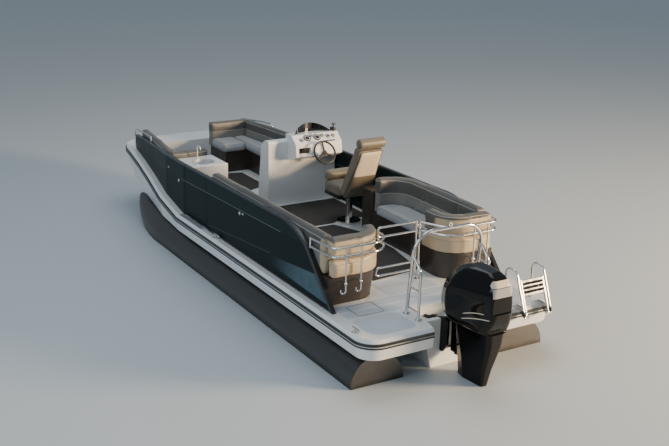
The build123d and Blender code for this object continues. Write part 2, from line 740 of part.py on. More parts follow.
def aft_pillar(side):
    """The sloping black trim that finishes a panel's aft edge."""
    outer = panel_half(0)
    x0, x1 = sorted([side * (outer + CAP_OVERHANG), side * (outer - PANEL_THICK)])
    w = PILLAR_WIDTH
    knee_top = PANEL_KNEE_Y + 100
    z_knee = panel_top(knee_top)
    edges = [
        Line((x0, PANEL_AFT_Y, 0), (x0, 1470, 575)),
        ThreePointArc((x0, 1470, 575), (x0, 1740, 700), (x0, knee_top, z_knee)),
        Line((x0, knee_top, z_knee), (x0, knee_top, z_knee + CAP_HEIGHT)),
        ThreePointArc((x0, knee_top, z_knee + CAP_HEIGHT), (x0, 1722, 732), (x0, PILLAR_TOP_Y, PILLAR_TOP_Z)),
        Line((x0, PILLAR_TOP_Y, PILLAR_TOP_Z), (x0, PANEL_AFT_Y - w, 0)),
        Line((x0, PANEL_AFT_Y - w, 0), (x0, PANEL_AFT_Y, 0)),
    ]
    return extrude(make_face(edges), amount=x1 - x0, dir=(1, 0, 0))


def side_panel_port_aft():
    """Port panel behind the gate."""
    return panel_aft(-1, GATE_AFT_Y - GATE_GAP)


def side_panel_port_fwd():
    """Port panel ahead of the gate, with the fixed halves of its hinges."""
    y0 = GATE_BOW_Y + GATE_GAP
    shape = panel_run(-1, y0, PANEL_BOW_Y)
    inner = -(panel_half(0) - PANEL_THICK)
    for z in HINGE_HEIGHTS:
        leaf = box(inner, GATE_PIN_X, GATE_BOW_Y, GATE_BOW_Y + 60, z, z + KNUCKLE)
        barrel = cylinder_z(z, z + KNUCKLE, GATE_PIN_X, GATE_BOW_Y, HINGE_BARREL_RADIUS)
        pin = cylinder_z(z, z + 2 * KNUCKLE, GATE_PIN_X, GATE_BOW_Y, HINGE_PIN_RADIUS)
        shape = shape + leaf + barrel + pin
    return shape


def side_panel_starboard():
    """Starboard panel, in one run from the stern's knee to the bow."""
    return panel_aft(1, SHEER_START) + panel_run(1, SHEER_START, PANEL_BOW_Y)


def port_gate():
    """The boarding gate in the port side, with the moving halves of its hinges."""
    outer = panel_half(0)
    y0, y1 = GATE_AFT_Y + 0.0, GATE_BOW_Y - GATE_GAP
    top0, top1 = panel_top(y0), panel_top(y1)
    shape = profile([(y0, GATE_FLOOR_GAP), (y0, top0), (y1, top1), (y1, GATE_FLOOR_GAP)],
                    -outer, -(outer - PANEL_THICK))
    inner = -(outer - PANEL_THICK)
    for z in HINGE_HEIGHTS:
        low, high = z + KNUCKLE + 0.5, z + 2 * KNUCKLE + 0.5
        leaf = box(inner, GATE_PIN_X, GATE_BOW_Y - 60, GATE_BOW_Y, low, high)
        barrel = cylinder_z(low, high, GATE_PIN_X, GATE_BOW_Y, HINGE_BARREL_RADIUS)
        bore = cylinder_z(low - 1, high + 1, GATE_PIN_X, GATE_BOW_Y, HINGE_PIN_RADIUS + PIN_CLEARANCE)
        shape = shape + leaf + barrel - bore
    return shape


def port_gate_cap():
    """The dark cap on the gate's top edge."""
    outer = panel_half(0)
    y0, y1 = GATE_AFT_Y, GATE_BOW_Y - GATE_GAP
    low = [(y0, panel_top(y0)), (y1, panel_top(y1))]
    high = [(y, z + CAP_HEIGHT) for y, z in reversed(low)]
    return profile(low + high, -(outer + CAP_OVERHANG), -(outer - PANEL_THICK))


def panel_fittings():
    """Round chrome fittings on the outside of the side panels."""
    parts = []
    for side in (-1, 1):
        for y, z in FITTINGS:
            slope = (panel_half(y - 20) - panel_half(y + 20)) / 40
            face = Plane(origin=(side * panel_half(y), y, z), z_dir=(side, slope, 0))
            disc = extrude(face * Circle(FITTING_RADIUS), amount=FITTING_PROUD)
            parts.append(fillet(disc.edges().sort_by(Axis.X)[-1 if side > 0 else 0], 6))
    return group(*parts)


def cleats():
    """Horn cleats that stand in the cups on the ledge."""
    parts = []
    for x, y in CLEAT_PLACES:
        floor = -CLEAT_CUP_DEPTH
        shape = box(x - 16, x + 16, y - 36, y + 36, floor, floor + 8)
        for dy in (-22, 22):
            shape = shape + cylinder_z(floor, 38, x, y + dy, 8)
        bar = cylinder_y(y - CLEAT_LENGTH / 2, y + CLEAT_LENGTH / 2, x, 38, CLEAT_BAR)
        parts.append(shape + fillet(bar.edges().filter_by(GeomType.CIRCLE), 6))
    return group(*parts)


def bench_base(side, inboard, y_bow):
    """The aft part of a bench's base: narrower at the floor, with a large rounded corner."""
    out = panel_half(0) - PANEL_THICK - WALL_GAP
    faces = []
    for tuck, z in [(BENCH_TAPER, 0.0), (0.0, BASE_HEIGHT)]:
        x_in, y_aft = inboard + tuck, BENCH_AFT + tuck
        face = make_face(Polyline((side * out, y_aft), (side * x_in, y_aft),
                                  (side * x_in, y_bow), (side * out, y_bow), close=True))
        corner = face.vertices().filter_by(lambda v: v.Y < y_bow - 1 and abs(v.X) < out - 1)
        faces.append(Pos(0, 0, z) * fillet(corner, BENCH_RADIUS - tuck))
    return loft(faces, ruled=True)


def port_lounge_base():
    """Base of the port lounge: the aft bench and the long side seat in one."""
    side = box(-(panel_half(0) - PANEL_THICK - WALL_GAP), -LOUNGE_INBOARD - BASE_TUCK, BENCH_BOW - 50,
               LOUNGE_BOW, 0, BASE_HEIGHT)
    return bench_base(-1, BENCH_INBOARD, BENCH_BOW) + side


def starboard_lounge_base():
    """Base of the starboard lounge, which narrows beside the walkway."""
    out = panel_half(0) - PANEL_THICK - WALL_GAP
    waist = prism([(STBD_INBOARD + BENCH_TAPER + 5, 1640), (out, 1640), (out, STBD_BOW), (640, STBD_BOW),
                   (640, 2000)], 0, BASE_HEIGHT)
    return bench_base(1, STBD_INBOARD, 1650) + waist


def aft_shell(side, inboard, y_end):
    """The moulded band that bulges round a bench's aft corner, under its backrest."""
    mid_y = BENCH_AFT - SHELL_BULGE + SHELL_THICK / 2
    mid_x = inboard - SHELL_BULGE + SHELL_THICK / 2
    out = panel_half(0) - PANEL_THICK - BACK_END_GAP
    wall = strip([(side * out, mid_y), (side * mid_x, mid_y), (side * mid_x, y_end)],
                 [BENCH_RADIUS - SHELL_BULGE], SHELL_THICK, BASE_HEIGHT, SHELL_TOP)
    return fillet(wall.faces().sort_by(Axis.Z)[-1].edges(), 40)


def aft_back(side, inboard, y_end):
    """The backrest that follows a bench's aft corner on top of its band."""
    width = BACK_THICK + 20
    mid_y = BENCH_AFT - 10 + width / 2
    mid_x = inboard - 10 + width / 2
    out = panel_half(0) - PANEL_THICK - BACK_END_GAP
    wall = strip([(side * out, mid_y), (side * mid_x, mid_y), (side * mid_x, y_end)],
                 [BENCH_RADIUS - 50], width, SHELL_TOP + SEAT_GAP, BACK_TOP)
    return fillet(wall.faces().sort_by(Axis.Z)[-1].edges(), 45)


def port_lounge_backs():
    """Backrests of the port lounge: round the aft corner and along the side."""
    inner = PANEL_THICK + BACK_GAP
    y0 = BENCH_AFT - 10 + BACK_THICK + 20 + 2
    side = side_block(-1, y0, LOUNGE_BOW - 2, inner, inner + BACK_THICK, BASE_HEIGHT, BACK_TOP)
    return group(aft_back(-1, BENCH_INBOARD, BACK_RETURN_Y), soften(side, 30, 40))


def pad(x0, x1, y0, y1):
    """One seat cushion on a base, with rounded edges."""
    block = box(x0, x1, y0, y1, BASE_HEIGHT, BASE_HEIGHT + SEAT_THICK)
    return soften(block, 45, CUSHION_ROUND)


def corner_pad(side, x_in, x_out, y0, y1):
    """The seat cushion in a bench's corner, rounded to fit inside the moulded band."""
    block = box(min(side * x_in, side * x_out), max(side * x_in, side * x_out), y0, y1,
                BASE_HEIGHT, BASE_HEIGHT + SEAT_THICK)
    upright = block.edges().filter_by(Axis.Z)
    tight = upright.filter_by(lambda e: abs(e.center().X - side * x_in) < 1 and e.center().Y < y0 + 1)
    block = fillet(tight, BENCH_RADIUS - SHELL_BULGE - SHELL_THICK + 10)
    others = block.edges().filter_by(Axis.Z).filter_by(
        lambda e: e.center().Y > y1 - 1 or abs(e.center().X - side * x_out) < 1)
    block = fillet(others, 30)
    return fillet(block.faces().sort_by(Axis.Z)[-1].edges(), CUSHION_ROUND)


def port_lounge_pads():
    """Seat cushions of the port lounge."""
    x0 = -(panel_half(0) - PANEL_THICK - BACK_GAP - BACK_THICK - 2)
    shell_in = BENCH_INBOARD - SHELL_BULGE + SHELL_THICK + 4
    y_aft = BENCH_AFT - 10 + BACK_THICK + 24
    third = (LOUNGE_BOW - BENCH_BOW) / 2
    pads = [corner_pad(-1, shell_in, -x0, y_aft, BENCH_BOW - 2)]
    for index in range(2):
        y0 = BENCH_BOW + index * third
        pads.append(pad(x0, -LOUNGE_INBOARD, y0, y0 + third - 4))
    return group(*pads)


def starboard_lounge_backs():
    """Backrests of the starboard lounge: aft corner, and the long one that sweeps round the front."""
    mid_x = panel_half(0) - PANEL_THICK - BACK_GAP - LOUNGE_BACK_WIDTH / 2
    mid_y = STBD_BOW - LOUNGE_BACK_WIDTH / 2
    y0 = BENCH_AFT - 10 + BACK_THICK + 22
    sweep_back = strip([(mid_x, y0), (mid_x, mid_y), (645, mid_y)], [SWEEP_RADIUS],
                       LOUNGE_BACK_WIDTH, BASE_HEIGHT, BACK_TOP + 20)
    sweep_back = fillet(sweep_back.faces().sort_by(Axis.Z)[-1].edges(), 45)
    return group(aft_back(1, STBD_INBOARD, BACK_RETURN_Y + 150), sweep_back)


def starboard_lounge_pads():
    """Seat cushions of the starboard lounge."""
    x1 = panel_half(0) - PANEL_THICK - BACK_GAP - LOUNGE_BACK_WIDTH - 2
    y_aft = BENCH_AFT - 10 + BACK_THICK + 24
    shell_in = STBD_INBOARD - SHELL_BULGE + SHELL_THICK + 4
    y_bow = STBD_BOW - LOUNGE_BACK_WIDTH - 6
    long = box(STBD_SEAT_INBOARD, x1, 1644, y_bow, BASE_HEIGHT, BASE_HEIGHT + SEAT_THICK)
    upright = long.edges().filter_by(Axis.Z)
    swept = upright.filter_by(lambda e: e.center().X > x1 - 1 and e.center().Y > y_bow - 1)
    long = fillet(swept, SWEEP_RADIUS - LOUNGE_BACK_WIDTH / 2 + 6)
    long = fillet(long.edges().filter_by(Axis.Z).filter_by(lambda e: e.center().Y < 1645), 45)
    long = fillet(long.faces().sort_by(Axis.Z)[-1].edges(), CUSHION_ROUND)
    return group(corner_pad(1, shell_in, x1, y_aft, 1640), long)


def storage_cabinet():
    """Cabinet between the starboard lounge and the helm chair, with two cup wells outboard in its top."""
    x0, x1, y0, y1, top = STORAGE
    shape = soften(box(x0, x1, y0, y1, 0, top), 35, 12)
    for y in ((y0 + y1) / 2 - CUP_SPREAD, (y0 + y1) / 2 + CUP_SPREAD):
        shape = shape - cylinder_z(top - CUP_DEPTH, top + 5, x1 - CUP_INSET, y, CUP_RADIUS)
    return shape


def bow_port_base():
    """Base of the port bow lounge."""
    inner = PANEL_THICK + WALL_GAP
    shape = seat_block(-1, 5470, BOW_SEAT_BOW, inner, -PORT_BOW_INBOARD - BASE_TUCK, 0, BASE_HEIGHT)
    return shape


def bow_port_backs():
    """Backrests of the port bow lounge: along the side, and across its aft end."""
    inner = PANEL_THICK + WALL_GAP
    side = side_block(-1, BOW_SEAT_AFT + 2, BOW_SEAT_BOW - 60, inner, inner + BACK_THICK - 20,
                      BASE_HEIGHT, BOW_BACK_TOP)
    x0 = -(panel_half(BOW_SEAT_AFT) - inner)
    across = box(x0, -BOW_PORT_TRANSVERSE_X - 60, BOW_SEAT_AFT - BACK_THICK, BOW_SEAT_AFT,
                 BASE_HEIGHT, BOW_BACK_TOP)
    return group(fillet(side.faces().sort_by(Axis.Z)[-1].edges(), 30), soften(across, 25, 35))


def bow_port_pads():
    """Seat cushions of the port bow lounge."""
    inner = PANEL_THICK + WALL_GAP + BACK_THICK - 18
    pads = []
    mid = (BOW_SEAT_AFT + BOW_SEAT_BOW) / 2
    for y0, y1 in [(BOW_SEAT_AFT + 2, mid - 2), (mid + 2, BOW_SEAT_BOW - 10)]:
        block = seat_block(-1, y0, y1, inner, -PORT_BOW_INBOARD, BASE_HEIGHT, BASE_HEIGHT + SEAT_THICK)
        pads.append(fillet(block.faces().sort_by(Axis.Z)[-1].edges(), CUSHION_ROUND))
    return group(*pads)


def bow_starboard_base():
    """Base of the starboard bow lounge, which turns across the boat at the front."""
    inner = PANEL_THICK + WALL_GAP
    side = seat_block(1, STBD_BOW_AFT, BOW_SEAT_BOW, inner, STBD_BOW_SIDE_IN + BASE_TUCK, 0, BASE_HEIGHT)
    cross = box(STBD_BOW_CROSS_IN + BASE_TUCK, STBD_BOW_SIDE_IN + 100, STBD_BOW_CROSS_Y + BASE_TUCK,
                BOW_SEAT_BOW, 0, BASE_HEIGHT)
    return side + cross


def bow_starboard_backs():
    """Backrests of the starboard bow lounge: along the side, and across the front."""
    inner = PANEL_THICK + WALL_GAP
    y_cross = BOW_SEAT_BOW - BACK_THICK
    side = side_block(1, STBD_BOW_AFT, y_cross - 2, inner, inner + BACK_THICK - 20,
                      BASE_HEIGHT, BOW_BACK_TOP)
    x1 = panel_half(BOW_SEAT_BOW) - inner
    cross = box(STBD_BOW_CROSS_IN, x1, y_cross, BOW_SEAT_BOW, BASE_HEIGHT, BOW_BACK_TOP)
    return group(fillet(side.faces().sort_by(Axis.Z)[-1].edges(), 30), soften(cross, 25, 35))


def bow_starboard_pads():
    """Seat cushions of the starboard bow lounge."""
    inner = PANEL_THICK + WALL_GAP + BACK_THICK - 18
    y_cross = BOW_SEAT_BOW - BACK_THICK - 4
    mid = (STBD_BOW_AFT + y_cross) / 2
    pads = []
    for y0, y1 in [(STBD_BOW_AFT, mid - 2), (mid + 2, y_cross)]:
        block = seat_block(1, y0, y1, inner, STBD_BOW_SIDE_IN, BASE_HEIGHT, BASE_HEIGHT + SEAT_THICK)
        pads.append(fillet(block.faces().sort_by(Axis.Z)[-1].edges(), CUSHION_ROUND))
    pads.append(pad(STBD_BOW_CROSS_IN, STBD_BOW_SIDE_IN - 4, STBD_BOW_CROSS_Y, y_cross))
    return group(*pads)


def sink_cabinet():
    """Moulded cabinet behind the port bow lounge, with the hole for its bowl."""
    x1, y0, y1, top = SINK
    shape = seat_block(-1, y0, y1, PANEL_THICK + WALL_GAP, x1, 0, top)
    shape = fillet(shape.faces().sort_by(Axis.Z)[-1].edges(), 15)
    return shape - cylinder_z(top - SINK_BOWL_DEPTH, top + 5, SINK_X, SINK_Y, SINK_BOWL_RADIUS)


def sink_bowl():
    """Round steel bowl with its rim on the cabinet, and the bent tap behind it."""
    top = SINK[-1]
    wall = SINK_BOWL_RADIUS - SEAT_GAP
    bowl = cylinder_z(top - SINK_BOWL_DEPTH + 10, top + 3, SINK_X, SINK_Y, wall)
    hollow = cylinder_z(top - SINK_BOWL_DEPTH + 10 + BOWL_WALL, top + 4, SINK_X, SINK_Y, wall - BOWL_WALL)
    rim = cylinder_z(top, top + 3, SINK_X, SINK_Y, wall + 14)
    rim = rim - cylinder_z(top - 1, top + 4, SINK_X, SINK_Y, wall - 1)
    tap_y = SINK_Y + SINK_BOWL_RADIUS + 70
    neck = pipe([(SINK_X, tap_y, top), (SINK_X, tap_y, top + 190), (SINK_X, tap_y - 110, top + 190),
                 (SINK_X, tap_y - 110, top + 140)], [40, 30], TAP_RADIUS)
    foot = cylinder_z(top, top + 14, SINK_X, tap_y, 24)
    return group(bowl - hollow + rim, neck + foot)


def helm_console():
    """Helm console: moulded body, raised dash pod with its sloping gauge panel, and steering column."""
    body = profile([(CONSOLE_AFT_Y, 0), (CONSOLE_AFT_Y, CONSOLE_TOP), (CONSOLE_AFT_Y + 130, CONSOLE_TOP),
                    (CONSOLE_AFT_Y + 230, CONSOLE_TOP - 90), (CONSOLE_AFT_Y + 330, 0)],
                   CONSOLE_PORT_X, CONSOLE_STBD_X)
    body = fillet(body.edges().filter_by(Axis.X).sort_by(Axis.Z)[-3:], 35)
    dash = profile([(CONSOLE_AFT_Y + 60, DASH_TOP), DASH_BREAK_TOP, DASH_BREAK_LOW, DASH_LIP, DASH_UNDER,
                    (CONSOLE_AFT_Y + 60, 640)], DASH_PORT_X, DASH_STBD_X)
    niche_y = DASH_LIP[0]
    niche = box(DASH_PORT_X + 45, DASH_PORT_X + 235, niche_y - 20, niche_y + 42, 765, 860)
    return body + dash + column() - niche


def wheel_plane():
    """The steering wheel's plane, with its axis towards the helmsman."""
    return Plane(origin=(WHEEL_X, WHEEL_Y, WHEEL_Z), x_dir=(1, 0, 0),
                 z_dir=(0, -cos(radians(WHEEL_TILT)), sin(radians(WHEEL_TILT))))


def column():
    """The steering column's sleeve between the dash and the wheel, bored for the shaft."""
    plane = wheel_plane()
    sleeve = plane * Pos(0, 0, -150) * Cylinder(COLUMN_RADIUS, 200)
    bore = plane * Pos(0, 0, -100) * Cylinder(WHEEL_SHAFT_RADIUS + PIN_CLEARANCE, 110)
    return sleeve - bore


def steering_wheel():
    """Steering wheel: rim, three spokes, hub and its shaft."""
    plane = wheel_plane()
    rim = plane * Torus(WHEEL_RADIUS - WHEEL_RIM, WHEEL_RIM)
    hub = plane * Pos(0, 0, -15) * Cylinder(34, 34)
    shaft = plane * Pos(0, 0, -80) * Cylinder(WHEEL_SHAFT_RADIUS, 120)
    shape = rim + hub + shaft
    for angle in (90, 210, 330):
        spoke = Rot(0, 0, angle) * Pos((WHEEL_RADIUS - WHEEL_RIM) / 2, 0, -4) * Box(
            WHEEL_RADIUS - WHEEL_RIM, 26, 8)
        shape = shape + plane * spoke
    return shape


def dash_gauges():
    """Round gauges with raised bezels and recessed faces on the dash."""
    y0, z0 = DASH_BREAK_LOW
    y1, z1 = DASH_BREAK_TOP
    run = sqrt((y1 - y0) ** 2 + (z1 - z0) ** 2)
    centre = (DASH_PORT_X + DASH_STBD_X) / 2
    plane = Plane(origin=(centre, y0, z0), x_dir=(1, 0, 0), z_dir=(0, -(z1 - z0) / run, (y1 - y0) / run))
    parts = []
    for across, up, radius in GAUGES:
        disc = plane * Pos(across, up, BEZEL_HEIGHT / 2) * Cylinder(radius, BEZEL_HEIGHT)
        face = plane * Pos(across, up, BEZEL_HEIGHT) * Cylinder(radius - 7, 8)
        parts.append(disc - face)
    return group(*parts)


def throttle():
    """Throttle control: a block on the dash's starboard end and its lever."""
    x0 = DASH_STBD_X - 95
    y0, y1 = DASH_BREAK_TOP[0] + 5, CONSOLE_AFT_Y
    block = box(x0 + 30, DASH_STBD_X - 10, y0, y1, DASH_TOP, DASH_TOP + 40)
    block = fillet(block.edges().filter_by(Axis.Z), 15)
    lever = rod((x0 + 55, y1 - 45, DASH_TOP + 30), (x0 + 55, y1 - 80, DASH_TOP + 95), 8)
    grip = Pos(x0 + 55, y1 - 82, DASH_TOP + 100) * Rot(0, 90, 0) * Cylinder(14, 50)
    return block + lever + grip


def windshield():
    """Low smoked screen bent round the dash, highest in the middle."""
    x0, x1 = DASH_PORT_X + SCREEN_INSETS[0], DASH_STBD_X - SCREEN_INSETS[1] - 60
    mid = (x0 + x1) / 2
    foot_y = DASH_BREAK_TOP[0] + 30
    path = ThreePointArc((x0, foot_y), (mid, foot_y + 120), (x1, foot_y))
    wall = Pos(0, 0, DASH_TOP) * extrude(trace(path, line_width=SCREEN_THICK), amount=SCREEN_RISE)
    back_y = foot_y - 260
    crown = ThreePointArc((x0 - 40, back_y, DASH_TOP - 20), (mid, back_y, DASH_TOP + SCREEN_RISE),
                          (x1 + 40, back_y, DASH_TOP - 20))
    base = Line((x1 + 40, back_y, DASH_TOP - 20), (x0 - 40, back_y, DASH_TOP - 20))
    hump = extrude(make_face([crown, base]), amount=500, dir=(0, 1, 0))
    return wall & hump


def seat_pedestal():
    """Pedestal of the helm chair: foot plate, column and the pin that the chair turns on."""
    x, y = CHAIR_X_PIVOT, CHAIR_Y_PIVOT
    foot = cylinder_z(MAT_THICK, MAT_THICK + 14, x, y, 165)
    pin = cylinder_z(PEDESTAL_TOP, PEDESTAL_TOP + 40, x, y, 20)
    return foot + cylinder_z(MAT_THICK, PEDESTAL_TOP, x, y, PEDESTAL_RADIUS) + pin


def back_plane():
    """The reclined plane of the chair's back, with its origin at the back's foot."""
    lean = radians(CHAIR_BACK_LEAN)
    return Plane(origin=(CHAIR_X_PIVOT, CHAIR_Y_PIVOT + CHAIR_REAR + 70, CHAIR_PAN_Z + 60),
                 x_dir=(1, 0, 0), z_dir=(0, -cos(lean), -sin(lean)))


def helm_seat_shell():
    """The chair's seat pan with its turning socket, and the light panel behind the backrest."""
    x, y = CHAIR_X_PIVOT, CHAIR_Y_PIVOT
    pan = box(x - CHAIR_HALF + 15, x + CHAIR_HALF - 15, y + CHAIR_REAR + 90, y + CHAIR_FRONT - 30,
              CHAIR_PAN_Z, CHAIR_PAN_Z + 45)
    socket = cylinder_z(PEDESTAL_TOP + 1, CHAIR_PAN_Z + 5, x, y, PEDESTAL_RADIUS)
    bore = cylinder_z(PEDESTAL_TOP - 5, PEDESTAL_TOP + 42, x, y, 20 + PIN_CLEARANCE)
    return fillet(pan.edges().filter_by(Axis.Z), 30) + socket - bore


def helm_back_panel():
    """The light panel that covers the rear of the chair's back."""
    plane = back_plane()
    low, high = 90, CHAIR_BACK_LENGTH - HEADREST_RADIUS - 10
    outline = Polyline((-190, low), (190, low), (160, high), (-160, high), close=True)
    face = fillet(make_face(outline).vertices(), 30)
    return extrude(plane * Pos(0, 0, 70) * face, amount=22)


def helm_seat_cushions():
    """The chair's seat with its front bolster, reclined back and headrest roll."""
    x, y = CHAIR_X_PIVOT, CHAIR_Y_PIVOT
    front = y + CHAIR_FRONT
    seat = box(x - CHAIR_HALF, x + CHAIR_HALF, y + CHAIR_REAR + 80, front, CHAIR_PAN_Z + 45, CHAIR_SEAT_TOP)
    seat = soften(seat, 60, 40)
    bolster = box(x - CHAIR_HALF + 5, x + CHAIR_HALF - 5, front - BOLSTER_DEPTH, front - 5,
                  CHAIR_SEAT_TOP + SEAT_GAP, BOLSTER_TOP)
    bolster = soften(bolster, 50, 45)
    plane = back_plane()
    tall = CHAIR_BACK_LENGTH
    outline = Polyline((-235, 0), (235, 0), (200, tall - 60), (-200, tall - 60), close=True)
    face = fillet(make_face(outline).vertices(), 50)
    back = extrude(plane * Pos(0, 0, -50) * face, amount=120)
    roll = plane * Pos(0, tall, 10) * Rot(0, 90, 0) * Cylinder(HEADREST_RADIUS, 410)
    roll = fillet(roll.edges(), 30)
    return group(seat - back, bolster, back - roll, roll)


def aft_rail(side, inboard, end, bend):
    """Two stainless rails round a bench's aft corner, with hooked uprights and round knobs."""
    corner_x = 1110.0
    start_y = pillar_y(RAIL_LOW_Z - RAIL_RADIUS - SEAT_GAP) - RAIL_RADIUS
    start = (side * 1150.0, start_y)
    shape = None
    for z in (RAIL_TOP_Z, RAIL_LOW_Z):
        run = pipe([(*start, z), (side * corner_x, AFT_RAIL_Y, z), (side * inboard, AFT_RAIL_Y, z),
                    (*end, z)], [90, bend], RAIL_RADIUS)
        shape = run if shape is None else shape + run
    for x, y in (start, end):
        shape = shape + cylinder_z(RAIL_LOW_Z - RAIL_RADIUS, RAIL_TOP_Z + RAIL_RADIUS, x, y, RAIL_RADIUS)
    for x in HOOK_X:
        hx = side * x
        hook = pipe([(hx, AFT_RAIL_Y, RAIL_TOP_Z), (hx, AFT_RAIL_Y, HOOK_DROP),
                     (hx + side * 62, AFT_RAIL_Y, HOOK_DROP), (hx + side * 62, AFT_RAIL_Y, HOOK_DROP + 50)],
                    [28, 28], RAIL_RADIUS - 2)
        face_y = BENCH_AFT + BENCH_TAPER * (1 - KNOB_Z / BASE_HEIGHT) - 1
        peg = cylinder_y(AFT_RAIL_Y, face_y, hx, KNOB_Z, 9)
        knob = Pos(hx, AFT_RAIL_Y, KNOB_Z) * Sphere(KNOB_RADIUS)
        shape = shape + hook + peg + knob
    return shape


def aft_rail_port():
    """Rails round the port bench."""
    return aft_rail(-1, 372.0, (-372.0, 1215.0), 250)


def aft_rail_starboard():
    """Rails round the starboard lounge, joined to the gate's hinge post."""
    shape = aft_rail(1, 445.0, (AFT_POST_X, AFT_GATE_Y), 260)
    post = cylinder_z(0, RAIL_TOP_Z + 30, AFT_POST_X, AFT_GATE_Y, RAIL_RADIUS)
    foot = cylinder_z(0, 8, AFT_POST_X, AFT_GATE_Y, 34)
    return shape + post + foot


def aft_gate():
    """The aft gate: an upright with two pairs of rails, turning on collars round the hinge post."""
    y = AFT_GATE_Y
    x0, x1 = AFT_GATE_PORT_X + 20, AFT_GATE_HINGE_X
    upright = cylinder_z(70, 735, x1, y, RAIL_RADIUS)
    shape = upright
    for z_low, z_high in [(130.0, 225.0), (600.0, 712.0)]:
        loop = pipe([(x1, y, z_low), (x0, y, z_low), (x0, y, z_high), (x1, y, z_high)], [42, 42], RAIL_RADIUS)
        shape = shape + loop
    for low, high in GATE_COLLARS:
        lug = box(x1, AFT_POST_X, y - 6, y + 6, low, high)
        collar = cylinder_z(low, high, AFT_POST_X, y, GATE_COLLAR_RADIUS)
        bore = cylinder_z(low - 1, high + 1, AFT_POST_X, y, RAIL_RADIUS + PIN_CLEARANCE)
        shape = shape + lug + collar - bore
    return shape


def tow_arch():
    """Stainless tow arch: two braced legs a side, rungs between them and a hoop across the top."""
    hoop = pipe([(-ARCH_HALF, ARCH_FRONT_Y, 0), (-ARCH_HALF, ARCH_TOP_Y, ARCH_TOP_Z),
                 (ARCH_HALF, ARCH_TOP_Y, ARCH_TOP_Z), (ARCH_HALF, ARCH_FRONT_Y, 0)],
                [ARCH_BEND, ARCH_BEND], ARCH_RADIUS)
    shape = hoop
    for side in (-1, 1):
        x = side * ARCH_HALF
        leg = pipe([(x, ARCH_REAR_Y, 0), (x, ARCH_REAR_Y - 10, 560), (x, arch_front_y(690), 690)],
                   [150], ARCH_BRACE_RADIUS)
        shape = shape + leg
        for z in ARCH_RUNGS:
            rung = rod((x, ARCH_REAR_Y - 5, z), (x, arch_front_y(z), z), ARCH_RUNG_RADIUS)
            shape = shape + rung
        for y in (ARCH_FRONT_Y, ARCH_REAR_Y):
            shape = shape + cylinder_z(0, 8, x, y, ARCH_FOOT_RADIUS)
    eye_z = ARCH_TOP_Z + ARCH_RADIUS + EYE_OUTER - 6
    y0, y1 = ARCH_TOP_Y - EYE_THICK / 2, ARCH_TOP_Y + EYE_THICK / 2
    shape = shape + cylinder_y(y0, y1, 0, eye_z, EYE_OUTER) - cylinder_y(y0 - 1, y1 + 1, 0, eye_z, EYE_HOLE)
    floor = box(-700, 700, 0, 800, -100, 0)
    return shape - floor


def arch_front_y(z):
    """Where the arch's front leg is at height z."""
    return ARCH_FRONT_Y + (ARCH_TOP_Y - ARCH_FRONT_Y) * z / ARCH_TOP_Z


def bow_rails():
    """Low stainless rails along the panels' bow ends, down to the bow's rim."""
    rails = []
    for side in (-1, 1):
        inset = PANEL_THICK / 2
        points = []
        for y in (BOW_RAIL_AFT, BOW_STATIONS[3][0], PANEL_BOW_Y):
            points.append((side * (panel_half(y) - inset), y, panel_top(y) + CAP_HEIGHT + BOW_RAIL_LIFT))
        foot = (side * (panel_half(BOW_RAIL_AFT) - inset), BOW_RAIL_AFT,
                panel_top(BOW_RAIL_AFT) + CAP_HEIGHT + 6)
        x_end = side * (panel_half(BOW_RAIL_BOW) - inset)
        end = (x_end, BOW_RAIL_BOW, ledge_z(BOW_RAIL_BOW + RAIL_RADIUS) + SEAT_GAP)
        top_end = (x_end, BOW_RAIL_BOW, panel_top(PANEL_BOW_Y) + CAP_HEIGHT + BOW_RAIL_LIFT - 25)
        rails.append(pipe([foot, points[0], points[1], points[2], top_end, end],
                          [45, 300, 200, 60], RAIL_RADIUS))
    return group(*rails)


def ladder_mount():
    """Stern brackets and pins for the ladder, and a leaning hoop beside each of its rails."""
    pivot_y, pivot_z = LADDER_PIVOT_Y, LADDER_PIVOT_Z
    lean = sin(radians(LADDER_LEAN)) / cos(radians(LADDER_LEAN))
    outline = [(110, 0), (110, 22), (-20, 24), (pivot_y + 10, pivot_z + 25), (pivot_y - 20, pivot_z + 10),
               (pivot_y - 20, pivot_z - 14), (pivot_y + 8, pivot_z - 22), (-10, -22), (36, 0)]
    shape = None
    for x in LADDER_X:
        for side in (-1, 1):
            near = x + side * (LADDER_TUBE + LADDER_GAP)
            far = near + side * LUG_THICK
            lug = profile(outline, min(near, far), max(near, far))
            shape = lug if shape is None else shape + lug
        reach = LADDER_TUBE + LADDER_GAP + LUG_THICK
        shape = shape + box(x - reach, x + reach, 32, 110, 0, 8)
        shape = shape + cylinder_x(x - reach - 4, x + reach + 4, pivot_y, pivot_z, LADDER_PIN_RADIUS)
        outboard = 1 if x > sum(LADDER_X) / 2 else -1
        hx = x + outboard * HANDRAIL_OUT
        foot_y = pivot_y - 10
        top_y = foot_y + (HANDRAIL_TOP - pivot_z) * lean
        hoop = pipe([(hx, HANDRAIL_FRONT_Y, 0), (hx, HANDRAIL_FRONT_Y, HANDRAIL_TOP),
                     (hx, top_y, HANDRAIL_TOP), (hx, foot_y, pivot_z)],
                    [HANDRAIL_BEND, HANDRAIL_BEND], RAIL_RADIUS)
        shape = shape + hoop + cylinder_z(0, 8, hx, HANDRAIL_FRONT_Y, HANDRAIL_FOOT_RADIUS)
    return shape


